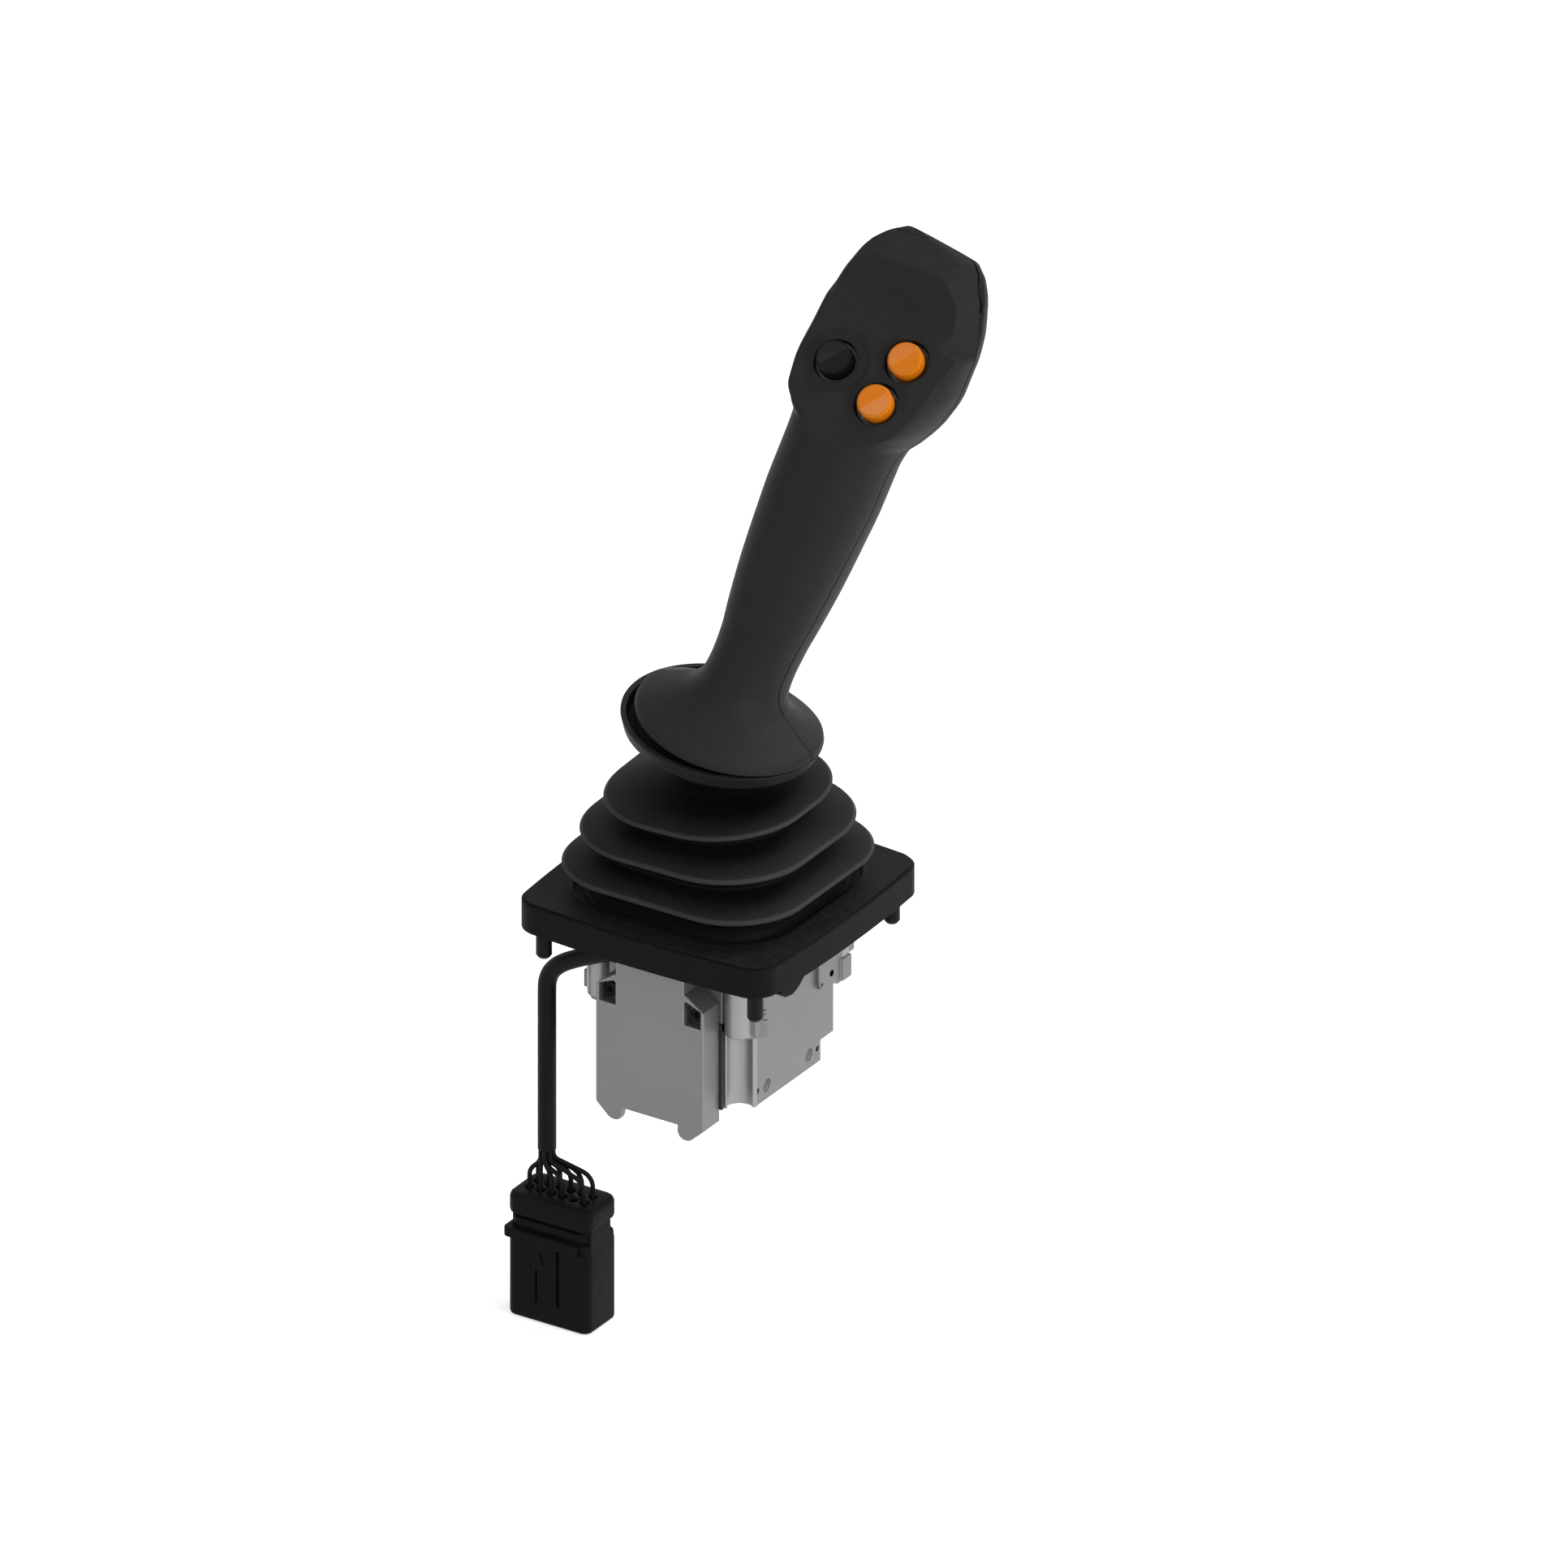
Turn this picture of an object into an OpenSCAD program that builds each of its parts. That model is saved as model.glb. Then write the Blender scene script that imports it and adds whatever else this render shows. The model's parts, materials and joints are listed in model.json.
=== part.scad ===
// Panel-mounted industrial joystick: square bezel on four studs, cast base below the panel,
// two-axis sprung gimbal, rubber boot, leaning grip with three push-buttons, and a cable
// that ends in a twelve-way connector.
// Millimetres. The origin is the centre of the stud pattern on the underside of the bezel,
// which is the panel plane. +Z points up the lever and -Y towards the operator.

/* [Bezel] */
// Width of the bezel across the middle of its sides
bezel_w = 98.4; // [96:0.2:104]
// How far each side of the bezel bows outwards
bezel_bulge = 1.5; // [1:0.1:2.5]
// Corner radius of the bezel
bezel_r = 9; // [7:0.5:12]
// Height of the bezel above the panel
bezel_h = 10.5; // [9.5:0.5:13]
// Pitch of the four mounting studs
stud_pitch = 80; // [78:0.5:82]
// Diameter of the mounting studs
stud_d = 5.2; // [4:0.1:6]
// Length of the studs below the panel plane
stud_len = 11.2; // [8:0.2:16]

/* [Base] */
// Width of the cast base
base_w = 57.6; // [57:0.2:59]
// Distance from the lever axis to the front wall of the cast base
base_front = 30.5; // [30:0.1:31]
// Distance from the lever axis to the back wall of the cast base
base_back = 23; // [22.6:0.1:23.4]
// Level of the underside of the cast base
base_bottom = 53.3; // [53:0.1:56]
// Wall of the cast base
base_wall = 3.2; // [3:0.1:3.6]
// Pitch of the corner screws from side to side
boss_pitch_x = 52; // [51.6:0.1:52.4]
// Pitch of the corner screws from front to back
boss_pitch_y = 55.2; // [54.8:0.1:55.6]
// Diameter of the corner bosses
boss_d = 9.5; // [9.2:0.1:9.8]
// Width of the front cover
cover_w = 40.6; // [40:0.2:41.4]
// Depth of the front cover from front to back
cover_depth = 9.5; // [9:0.1:10.5]
// Level of the underside of the front cover
cover_bottom = 57.3; // [57:0.1:59]

/* [Gimbal] */
// Depth of the pivot centre below the panel plane
pivot_depth = 18; // [17.5:0.25:18.5]
// Diameter of the gimbal pins
pin_d = 6; // [5.6:0.1:6.4]
// Radial running clearance of the pins
run_gap = 0.05; // [0.02:0.01:0.1]
// Diameter of the barrel hub on the lever
hub_d = 16; // [15:0.5:16.5]
// Outer diameter of the lever shaft
shaft_d = 12; // [11.6:0.1:12.4]
// Bore of the lever shaft
shaft_bore = 6; // [5.6:0.1:6.2]
// Level of the top of the lever shaft above the panel plane
shaft_top = 64; // [63:0.25:64.5]

/* [Boot] */
// Wall of the rubber boot
boot_wall = 1.8; // [1.6:0.1:2]
// Outer radius of the neck of the boot
boot_neck_r = 13.5; // [13:0.5:14.5]

/* [Grip] */
// Sideways lean of the grip towards +X
grip_lean = 13.4; // [12.8:0.2:14]
// Backward lean of the grip
grip_back = 19.5; // [19:0.5:20]
// Radius of the rim of the skirt
skirt_r = 31; // [30.4:0.2:31.4]
// Radius of the rim of the dish under the skirt
cup_r = 33; // [32.6:0.2:33.6]
// Sideways lean of the dish
cup_lean = 10; // [9.6:0.1:10.4]
// Wall of the grip shells
shell_wall = 2.6; // [2.2:0.1:3]
// Outer diameter of the spine tube inside the grip
spine_d = 16; // [15:0.5:17]
// Angle of the button face to the grip axis
face_tilt = 28.3; // [27.5:0.1:29]

/* [Buttons] */
// Diameter of the pockets round the buttons
pocket_d = 14.4; // [14:0.1:14.8]
// Diameter of the button caps
cap_d = 11.6; // [11.2:0.1:12]
// Height of the caps above the face
cap_proud = 3.2; // [2.8:0.1:3.8]
// Travel of the buttons
button_travel = 1.5; // [1:0.1:2]
// Depth of the floor of the pockets below the face
pocket_depth = 2.2; // [2:0.1:2.6]

/* [Connector] */
// Diameter of the cable
cable_d = 6; // [5.8:0.1:6]
// Pitch of the contacts along a row
pin_pitch = 4.15; // [4.1:0.01:4.2]
// Distance between the two rows of contacts
row_pitch = 5; // [4.8:0.1:5.2]
// Width of the connector's shroud
shroud_w = 31.5; // [31:0.1:32]
// Depth of the connector's shroud
shroud_d = 17.8; // [17.4:0.1:18.2]
// Wall of the shroud
shroud_wall = 1.8; // [1.6:0.1:2]

/* [Hidden] */

// Facets of a round inside a hull
hull_fn = 32;
// Clearance between pieces that pass each other
clear = 0.3;

// Bezel
bezel_half = bezel_w / 2;
bezel_c = bezel_half - bezel_bulge - bezel_r;
bezel_side_r = (bezel_c * bezel_c + bezel_bulge * bezel_bulge) / (2 * bezel_bulge);
bezel_edge = 1;
// How much wider a stud is where it is pressed into the bezel
stud_grip = 1.4;
boot_seat_half = 40;
boot_seat_r = 24;
boot_foot_z = 4.5;
boot_foot_t = 2;
frame_t = 2.5;
collar_drop = 4;
collar_half = 30.2;
collar_wall = 3.4;
tab_x = 42.2;
tab_y = -34;
post_len = 12;
key_tab = [3.6, 18.5, 6.1];

// Base
base_half = base_w / 2;
nose_half = 21.4;
nose_depth = 7.5;
main_front = base_front - nose_depth;
step_back = 7.5;
step_level = 46;
floor_t = 3.3;
housing_top = -collar_drop;
boss_x = boss_pitch_x / 2;
boss_y = boss_pitch_y / 2;
boss_top = -post_len;
boss_bottom = -25.3;
screw_d = 4.2;
screw_head_d = 6.6;
head_depth = 3.6;
groove_r = 5.4;
cavity_half = base_half - base_wall;
cavity_front = main_front - base_wall;
cavity_back = base_back - base_wall;
seat_d = 13;
bush_d = 9;
bush_inner = base_half - 8.4;
bush_len = 6.6;

// Gimbal
ring_half_x = 14.2;
ring_half_y = 16;
ring_open_y = 11.6;
ring_h = 9;
hub_gap = 0.5;
hub_len = 11.4;
tail_d = 9;
tail_level = 41;
magnet_d = 6;
magnet_t = 3;
spring_wire = 1.3;
spring_turns = 3;

// Cover
cover_front = base_front + cover_depth;
cover_half = cover_w / 2;
cover_top = -1;
cover_wall = 2.2;
peg_d = 2.8;
shoulder_x = 12.8;
shoulder_top = -10;
shoulder_low = -15;
window_x = [12.9, 19.3];
window_z = [-21, -12.4];
window_depth = 4.7;
window_mid = 16.4;
screw_z = -17.4;
foot_x = [10.5, 20.3];
foot_len = 4.8;

// Grip frame: the centre of the skirt's rim, and the foot of the grip's own axis
grip_at = [4.64, 0, shaft_top + 5.6];
axis_shift = 1.1;
cup_at = [1.97, 0, shaft_top + 3.5];

// Sections of the grip along its axis, from the skirt's rim to the top of the hood:
// [distance, depth offset, tilt, half-width, front depth, back depth, squareness]
grip_sections = [
    [-0.94, -0.84, 19.5, skirt_r, skirt_r, skirt_r, 2],
    [0.95, -1.5, 19.5, skirt_r - 0.7, skirt_r - 0.7, skirt_r - 0.7, 2],
    [3.2, -1.5, 18, 26.4, 26.6, 26.4, 2],
    [5.8, -1.5, 15, 21.6, 22.4, 21.2, 2],
    [8.8, -1.2, 10, 16.6, 18.8, 17.4, 2],
    [13, -0.6, 5, 13.8, 17, 15.8, 2],
    [20, -0.2, 1, 13.2, 16.6, 15.6, 2.05],
    [28, 0, 0, 13.2, 16.6, 16.4, 2.1],
    [36, 0, 0, 13.9, 17.2, 17, 2.15],
    [53, 0, 0, 15.6, 18.6, 18.8, 2.2],
    [68, 0, 0, 16.6, 19.6, 20, 2.2],
    [82, 0, 0, 17.4, 20.2, 21, 2.2],
    [96, 0, 0, 17.6, 20.6, 21, 2.2],
    [103, 1, 0, 18.4, 20.8, 21, 2.3],
    [107, 3, 0, 20.6, 24, 20, 2.8],
    [112, 5.6, 0, 23, 32, 18.6, 2.7],
    [117.5, 7.5, 0, 25, 32, 17, 2.6],
    [128, 9, 0, 26.8, 24, 15.4, 2.6],
    [138, 9, 0, 26.8, 18, 14.4, 2.7],
    [143, 9, 0, 26.3, 11, 14, 2.8],
    [148, 9, 0, 25.5, 9, 13.4, 2.8],
    [152.5, 9, 0, 24.2, 7.4, 12.6, 2.8],
    [157, 9.2, 0, 22.8, 5.6, 11, 2.8],
    [160, 9.6, 0, 21.4, 5.2, 9.8, 2.8],
    [164, 11.6, 0, 18.2, 3.2, 6.6, 2.9],
    [167.3, 13.4, 0, 13.8, 1.2, 2.6, 3]
];
// How far the back of the skirt droops below the plane of its rim
skirt_drop = 3.4;
// How much further it dips at the back on the left
skirt_dip = 3;
grip_n = 36;
inner_from = 0;
inner_to = 23;

// The button face, in the plane of the grip's depth and axis
face_lip = [-19.2, 103.1];
face_len = 48.4;
hood_h = 15.5;
hood_step = face_lip + face_len * [sin(face_tilt), cos(face_tilt)];
face_mid = [-8.3, 123.3];
// Places of the buttons on the face: across, then up the face from the middle button row
button_places = [[-10.4, 0], [10.5, 10.6], [9.5, -6.1]];

// Line along which the two shells part: depth and distance along the grip
parting = [[0.2, -8], [0.1, 0], [-0.4, 4], [-0.9, 8], [-1.5, 13], [-0.8, 17], [0.6, 22], [3, 30],
    [4, 54], [2.5, 98], [5, 106], [8, 115], [9.5, 128], [9.5, 140], [9.5, 158], [12, 166],
    [12.6, 172]];

// Button pieces
cap_len = 7;
stem_d = 4;
switch_d = 13.8;
switch_low = 13;
cap_flange = 6.2;
spring_d_b = 6.4;

// Cable route, from the grommet to the cut end of the jacket
cable_y = -35;
route = [[-10.6, -35, -5.5], [-14, -35, -5.5], [-17.5, -35, -5.6], [-20.5, -35, -6.5], [-24, -35, -8.2],
    [-28, -35, -10.1], [-31.5, -35, -11.9], [-35, -35, -13.9], [-38.2, -35, -16.3],
    [-40.6, -35, -19.2], [-41.9, -35, -22.8], [-42.1, -35, -27], [-42.1, -35, -36],
    [-42.1, -35, -46], [-42.1, -35, -56], [-42.1, -35, -66], [-42.1, -35, -76], [-42.1, -35, -83]];

// Connector
plug_x = -36.7;
plug_top = -97;
plug_low = -140.7;
plug_flange = [-109.3, -112.7];
pin_d_c = 1.6;
wire_d = 1.25;
wire_hole_d = 2.6;
floor_level = -118;
empty_hole = 4;
seal_floor = -104;
seal_top = plug_top - 0.8;

// A square with bowed sides and round corners, seen from above
module bowed_square(inset = 0) {
    for (a = [0, 90])
        rotate(a)
            intersection() {
                square([2 * bezel_c, 2 * (bezel_half - inset)], center = true);
                translate([0, bezel_half - inset - bezel_side_r])
                    circle(bezel_side_r, $fn = 360);
                translate([0, bezel_side_r - bezel_half + inset])
                    circle(bezel_side_r, $fn = 360);
            }
    for (x = [-1, 1], y = [-1, 1])
        translate([x * bezel_c, y * bezel_c])
            circle(bezel_r - inset, $fn = 64);
}

// A rectangle with round corners, seen from above
module round_rect(w, d, r) {
    square([w - 2 * r, d], center = true);
    square([w, d - 2 * r], center = true);
    for (x = [-1, 1], y = [-1, 1])
        translate([x * (w / 2 - r), y * (d / 2 - r)])
            circle(r, $fn = 48);
}

// A rectangular bar between two levels
module bar(x0, x1, y0, y1, z0, z1) {
    translate([x0, y0, z0])
        cube([x1 - x0, y1 - y0, z1 - z0]);
}

// An upright rod between two levels
module rod(d, z0, z1) {
    translate([0, 0, z0])
        cylinder(d = d, h = z1 - z0, $fn = 64);
}

module at_corners(x, y) {
    for (sx = [-1, 1], sy = [-1, 1])
        translate([sx * x, sy * y, 0])
            children();
}

// Frames of the grip: its rim, its own axis, and the middle of the button face
module in_grip() {
    translate(grip_at)
        rotate([0, grip_lean, 0])
            translate([0, axis_shift, 0])
                rotate([-grip_back, 0, 0])
                    children();
}

module in_face(place = [0, 0]) {
    in_grip()
        translate([0, face_mid[0], face_mid[1]])
            rotate([90 - face_tilt, 0, 0])
                translate([place[0], place[1], 0])
                    children();
}

module in_cup() {
    translate(cup_at)
        rotate([0, cup_lean, 0])
            children();
}

// Points of one section of the grip, drawn in by a wall
function signed_power(v, e) = sign(v) * pow(abs(v), e);
function section(row, wall) = [
    for (i = [0 : grip_n - 1])
        let (
            a = 360 * i / grip_n,
            depth = sin(a) < 0 ? row[4] : row[5],
            e = 2 / row[6],
            across = (row[3] - wall) * signed_power(cos(a), e),
            back = max(depth - wall, 0.5) * signed_power(sin(a), e)
        )
        [across, row[1] + back * cos(row[2]), row[0] + back * sin(row[2])
            - (sin(a) > 0 ? row[2] / grip_back * (skirt_drop * pow(sin(a), 2)
                + (cos(a) < 0 ? -skirt_dip * sin(2 * a) : 0)) : 0)]
];

// The solid between two sections with as many points
module between(low, high) {
    n = len(low);
    hull()
        polyhedron(
            points = concat(low, high),
            faces = concat(
                [[for (i = [0 : n - 1]) i]],
                [[for (i = [n - 1 : -1 : 0]) n + i]],
                [for (i = [0 : n - 1]) [i, n + i, n + (i + 1) % n, (i + 1) % n]]
            )
        );
}

module grip_body(wall, first, last) {
    for (i = [first : last - 1])
        between(section(grip_sections[i], wall), section(grip_sections[i + 1], wall));
}

// A slab across the grip, from an outline in its depth and axis
module across_grip(outline) {
    rotate([90, 0, 90])
        linear_extrude(height = 80, center = true)
            polygon(outline);
}

// What lies in front of the button face and of the hood's wall, moved back by a wall
module face_cut(wall) {
    lip = face_lip + wall * [cos(face_tilt), -sin(face_tilt)];
    step = hood_step + [wall, -wall * tan(face_tilt / 2)];
    below = lip - 40 * [sin(face_tilt), cos(face_tilt)];
    across_grip([below, lip, step, step + [0.6, hood_h], [-50, step[1] + hood_h], [-50, below[1]]]);
}

// What lies behind the parting line
module rear_half() {
    across_grip(concat(parting, [[60, 180], [60, -20], [0.2, -20]]));
}

module grip_hollow() {
    difference() {
        grip_body(shell_wall, inner_from, inner_to);
        face_cut(shell_wall);
    }
}

module grip_shell() {
    difference() {
        grip_body(0, 0, len(grip_sections) - 1);
        face_cut(0);
        grip_hollow();
        grip_foot_cut();
    }
}

// The open mouth of the skirt
module grip_foot_cut() {
    between(section([-2.9, -0.14, grip_back, skirt_r, skirt_r, skirt_r, 2], shell_wall),
        section(grip_sections[0], shell_wall));
}

// Holes in the face for the three switches
module button_holes() {
    for (place = button_places)
        translate([0, face_mid[0], face_mid[1]])
            rotate([90 - face_tilt, 0, 0])
                translate([place[0], place[1], -8])
                    cylinder(d = pocket_d, h = 16, $fn = 40);
}

module bezel_flange() {
    color([0.13, 0.13, 0.135])
        difference() {
            union() {
                linear_extrude(height = bezel_h - bezel_edge)
                    bowed_square();
                translate([0, 0, bezel_h - bezel_edge])
                    linear_extrude(height = bezel_edge)
                        bowed_square(bezel_edge);
                translate([0, 0, -collar_drop])
                    linear_extrude(height = collar_drop)
                        round_rect(2 * collar_half, 2 * collar_half, 4);
                at_corners(boss_x, boss_y)
                    rod(boss_d - 2, -post_len, 0);
                key_block();
            }
            translate([0, 0, boot_foot_z])
                linear_extrude(height = bezel_h)
                    round_rect(2 * boot_seat_half, 2 * boot_seat_half, boot_seat_r);
            translate([0, 0, -collar_drop - 1])
                linear_extrude(height = bezel_h)
                    round_rect(2 * (collar_half - collar_wall), 2 * (collar_half - collar_wall), 8);
            at_corners(boss_x, boss_y)
                rod(screw_d, -post_len - 1, 3);
            at_corners(stud_pitch / 2, stud_pitch / 2)
                rod(stud_d + stud_grip, -1, 7);
        }
}

// Locating key with one sloping side, under the edge of the bezel
module key_block() {
    translate([tab_x, 0, 0])
        rotate([90, 0, 90])
            linear_extrude(height = key_tab[0])
                polygon([[tab_y, 1], [tab_y, -key_tab[2] + 3], [tab_y + 3, -key_tab[2] + 0.6],
                    [tab_y + 6.6, -key_tab[2]], [tab_y + 9, -key_tab[2] + 0.5],
                    [tab_y + 11.2, -key_tab[2] + 1.5], [tab_y + key_tab[1], 1]]);
}

module mounting_studs() {
    color([0.12, 0.12, 0.12])
        at_corners(stud_pitch / 2, stud_pitch / 2) {
            rod(stud_d + stud_grip, 0, 7);
            rod(stud_d, 1 - stud_len, 0);
            translate([0, 0, -stud_len])
                cylinder(d1 = stud_d - 1.4, d2 = stud_d, h = 1, $fn = 64);
        }
}

// Plan of the cast base: a main block and a narrower nose in front
module base_plan(back) {
    translate([-base_half, -main_front])
        square([base_w, main_front + back]);
    translate([-nose_half, -base_front])
        square([2 * nose_half, nose_depth + 1]);
}

module base_housing() {
    color([0.62, 0.62, 0.61])
        difference() {
            union() {
                translate([0, 0, -step_level])
                    linear_extrude(height = step_level + housing_top)
                        base_plan(base_back);
                translate([0, 0, -base_bottom])
                    linear_extrude(height = base_bottom - step_level + 1)
                        base_plan(base_back - step_back);
                at_corners(boss_x, boss_y)
                    rod(boss_d, boss_bottom, boss_top);
                at_corners(boss_x - 2, boss_y - 4)
                    bar(-3, 3, -4, 3, boss_bottom + 2, boss_top);
                for (s = [-1, 1])
                    bar(s > 0 ? boss_x : -boss_x - 6.6, s > 0 ? boss_x + 6.6 : -boss_x,
                        -boss_y - 0.4, -boss_y + 6.6, -25, -19);
            }
            bar(-cavity_half, cavity_half, -cavity_front, cavity_back - step_back,
                floor_t - base_bottom, 1);
            bar(-cavity_half, cavity_half, -cavity_front, cavity_back,
                floor_t - step_level, 1);
            bar(-nose_half + base_wall, nose_half - base_wall, -base_front + base_wall,
                -cavity_front + 1, floor_t - base_bottom, 1);
            bar(-7, 7, -base_front - 1, -base_front + base_wall + 1, sensor_z - 3, sensor_z + 2);
            at_corners(boss_x, boss_y) {
                rod(2 * groove_r, -base_bottom - 1, boss_bottom);
                rod(screw_d, boss_bottom - 1, boss_top + 1);
                rod(screw_head_d + 0.6, boss_bottom - 1, boss_bottom + head_depth);
            }
            for (s = [-1, 1])
                translate([s * (cavity_half - 1), 0, -pivot_depth])
                    rotate([0, s * 90, 0])
                        cylinder(d = bush_d, h = base_wall - 0.2, $fn = 64);
            dimples();
            for (s = [-1, 1])
                translate([s * window_mid, -base_front + 4, screw_z])
                    rotate([90, 0, 0])
                        cylinder(d = 3, h = 5, $fn = 32);
        }
    color([0.62, 0.62, 0.61]) {
        pivot_seats();
        for (s = [-1, 1])
            translate([s * 14, 0, -28])
                upright(base_front + 2, base_front)
                    circle(d = peg_d, $fn = 32);
    }
}

// Blind holes and ejector marks low on the side of the base
module dimples() {
    for (s = [-1, 1], hole = [[-15.9, 4.7], [8.7, 4.7], [-21.1, 2.2], [13.8, 2.2]])
        translate([s * (base_half - 1), hole[0], -48.5])
            rotate([0, s * 90, 0])
                cylinder(d = hole[1], h = 2, $fn = 32);
}

// Rings inside the side walls that carry the bushes
module pivot_seats() {
    for (s = [-1, 1])
        translate([s * bush_inner, 0, -pivot_depth])
            rotate([0, s * 90, 0])
                difference() {
                    cylinder(d = seat_d, h = cavity_half - bush_inner, $fn = 64);
                    translate([0, 0, -1])
                        cylinder(d = bush_d, h = cavity_half - bush_inner + 2, $fn = 64);
                }
}

module pivot_bushes() {
    color([0.72, 0.5, 0.25])
        for (s = [-1, 1])
            translate([s * bush_inner, 0, -pivot_depth])
                rotate([0, s * 90, 0])
                    difference() {
                        cylinder(d = bush_d, h = bush_len, $fn = 64);
                        translate([0, 0, -1])
                            cylinder(d = pin_d + 2 * run_gap, h = bush_len + 2, $fn = 64);
                    }
}

// Outline of the front cover seen from the front
module cover_face() {
    polygon([
        [-shoulder_x, cover_top], [-shoulder_x, shoulder_top], [-shoulder_x - 1.3, shoulder_top - 0.7],
        [-cover_half, shoulder_low], [-cover_half, -cover_bottom], [cover_half, -cover_bottom],
        [cover_half, shoulder_low], [shoulder_x + 1.3, shoulder_top - 0.7],
        [shoulder_x, shoulder_top], [shoulder_x, cover_top]
    ]);
}

// One foot of the front cover, a thin tab with a round tip and a sloping outer side
module cover_foot() {
    polygon([
        [foot_x[0], -cover_bottom + 1], [foot_x[0], -cover_bottom - foot_len + 2.4],
        [foot_x[0] + 0.7, -cover_bottom - foot_len + 0.8], [foot_x[0] + 2.2, -cover_bottom - foot_len],
        [foot_x[0] + 4, -cover_bottom - foot_len], [foot_x[0] + 5.2, -cover_bottom - foot_len + 0.6],
        [cover_half, -cover_bottom], [cover_half, -cover_bottom + 1]
    ]);
}

// One window for a cover screw, open to the front
module cover_window() {
    polygon([
        [window_x[0], window_z[0]], [window_x[1], window_z[0]], [window_x[1], -14.6],
        [window_x[0] + 0.8, window_z[1]], [window_x[0], window_z[1] - 0.6]
    ]);
}

// Depth the flat outline from one distance in front of the lever axis to another
module upright(front, back) {
    translate([0, -back, 0])
        rotate([90, 0, 0])
            linear_extrude(height = front - back)
                children();
}

module front_cover() {
    color([0.6, 0.6, 0.59])
        difference() {
            union() {
                upright(cover_front, base_front)
                    cover_face();
                for (s = [0, 1])
                    upright(cover_front, cover_front - cover_wall)
                        mirror([s, 0, 0])
                            cover_foot();
            }
            bar(-shoulder_x + cover_wall, shoulder_x - cover_wall,
                -cover_front + cover_wall, -base_front + 1, shoulder_top, cover_top - 1.2);
            bar(-window_x[0] + 1.4, window_x[0] - 1.4,
                -cover_front + cover_wall, -base_front + 1, shoulder_top - 20, shoulder_top + 1);
            bar(-cover_half + cover_wall, cover_half - cover_wall,
                -cover_front + cover_wall, -base_front + 1, -cover_bottom + cover_wall, -24);
            for (s = [0, 1])
                mirror([s, 0, 0]) {
                    upright(cover_front + 1, cover_front - window_depth)
                        cover_window();
                    translate([window_mid, 0, screw_z])
                        rotate([90, 0, 0])
                            cylinder(d = 3.2, h = cover_front, $fn = 32);
                }
            translate([-shoulder_x - 1, cable_y, route[0][2]])
                rotate([0, 90, 0])
                    cylinder(d = cable_d + 1.6, h = cover_wall + 2, $fn = 48);
        }
}

module cover_screws() {
    color([0.75, 0.75, 0.77])
        for (s = [-1, 1])
            translate([s * window_mid, -cover_front + window_depth, screw_z])
                rotate([90, 0, 0])
                    difference() {
                        union() {
                            cylinder(d = 5, h = 2, $fn = 48);
                            translate([0, 0, -8])
                                cylinder(d = 3, h = 9, $fn = 32);
                        }
                        translate([0, 0, 1])
                            cylinder(d = 2.6, h = 2, $fn = 6);
                    }
}

module body_screws() {
    color([0.7, 0.7, 0.72])
        at_corners(boss_x, boss_y)
            difference() {
                union() {
                    rod(screw_d - 0.2, boss_bottom + head_depth - 1, 2);
                    rod(screw_head_d, boss_bottom + 0.4, boss_bottom + head_depth);
                }
                translate([0, 0, boss_bottom])
                    cylinder(d = 3.6, h = 2.4, $fn = 6);
            }
}

module circuit_board() {
    color([0.1, 0.35, 0.2])
        difference() {
            bar(-cover_half + cover_wall + clear, cover_half - cover_wall - clear,
                -base_front - 1.6, -base_front, -cover_bottom + cover_wall + clear, -24 - clear);
            for (s = [-1, 1])
                translate([s * 14, -base_front + 1, -28])
                    rotate([90, 0, 0])
                        cylinder(d = peg_d + 0.2, h = 4, $fn = 32);
        }
}

module board_chips() {
    color([0.08, 0.08, 0.08]) {
        bar(header_x - 4, header_x + 4, cable_y - 2, -base_front - 1.6, -27, -22);
        for (chip = [[-8, -34, 7, 7], [6, -32, 5, 4], [8, -44, 9, 6], [-9, -46, 4, 3]])
            bar(chip[0] - chip[2] / 2, chip[0] + chip[2] / 2, -base_front - 3, -base_front - 1.6,
                chip[1] - chip[3] / 2, chip[1] + chip[3] / 2);
    }
}

sensor_z = floor_t - base_bottom + 4.6;

module sensor_board() {
    color([0.1, 0.35, 0.2]) {
        bar(-12, 12, -14, 11, sensor_z - 1.6, sensor_z);
        for (x = [-10, 10], y = [-12, 9])
            translate([x, y, 0])
                rod(3.4, floor_t - base_bottom, sensor_z - 1.6);
    }
}

module sensor_chip() {
    color([0.08, 0.08, 0.08])
        bar(-2.5, 2.5, -2, 2, sensor_z, sensor_z + 1.2);
}

// Flat link from the sensor board through the slot in the base to the main board
module board_link() {
    color([0.75, 0.6, 0.3])
        bar(-5, 5, -base_front, -14, sensor_z - 1.1, sensor_z - 0.6);
}

// Outer rows of the boot from its foot to its neck: level, half-width, corner radius.
// Levels are given for a boot 50.5 mm high and stretch with its real height.
boot_top = shaft_top - 9;
boot_rise = (boot_top - boot_foot_z) / 50.5;
boot_folds = [
    [17, 37.6, 23.6], [19.2, 42.4, 25], [21, 43, 25.4], [21.8, 41.8, 25.2], [24, 35.4, 24],
    [25.6, 32.8, 24], [28.4, 34, 26], [30.4, 38, 27.8], [32.2, 38.5, 28], [33, 37.4, 27.6],
    [35.2, 31, 26.6], [36.8, 28.6, 26], [39.4, 30, 27.4], [41.2, 33.6, 29], [42.8, 34, 29.4],
    [43.6, 33, 29], [46, 26.6, 26], [48.2, 22, 22], [49.4, 18.6, 18.6],
    [51, boot_neck_r, boot_neck_r], [55, boot_neck_r, boot_neck_r]
];
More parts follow.
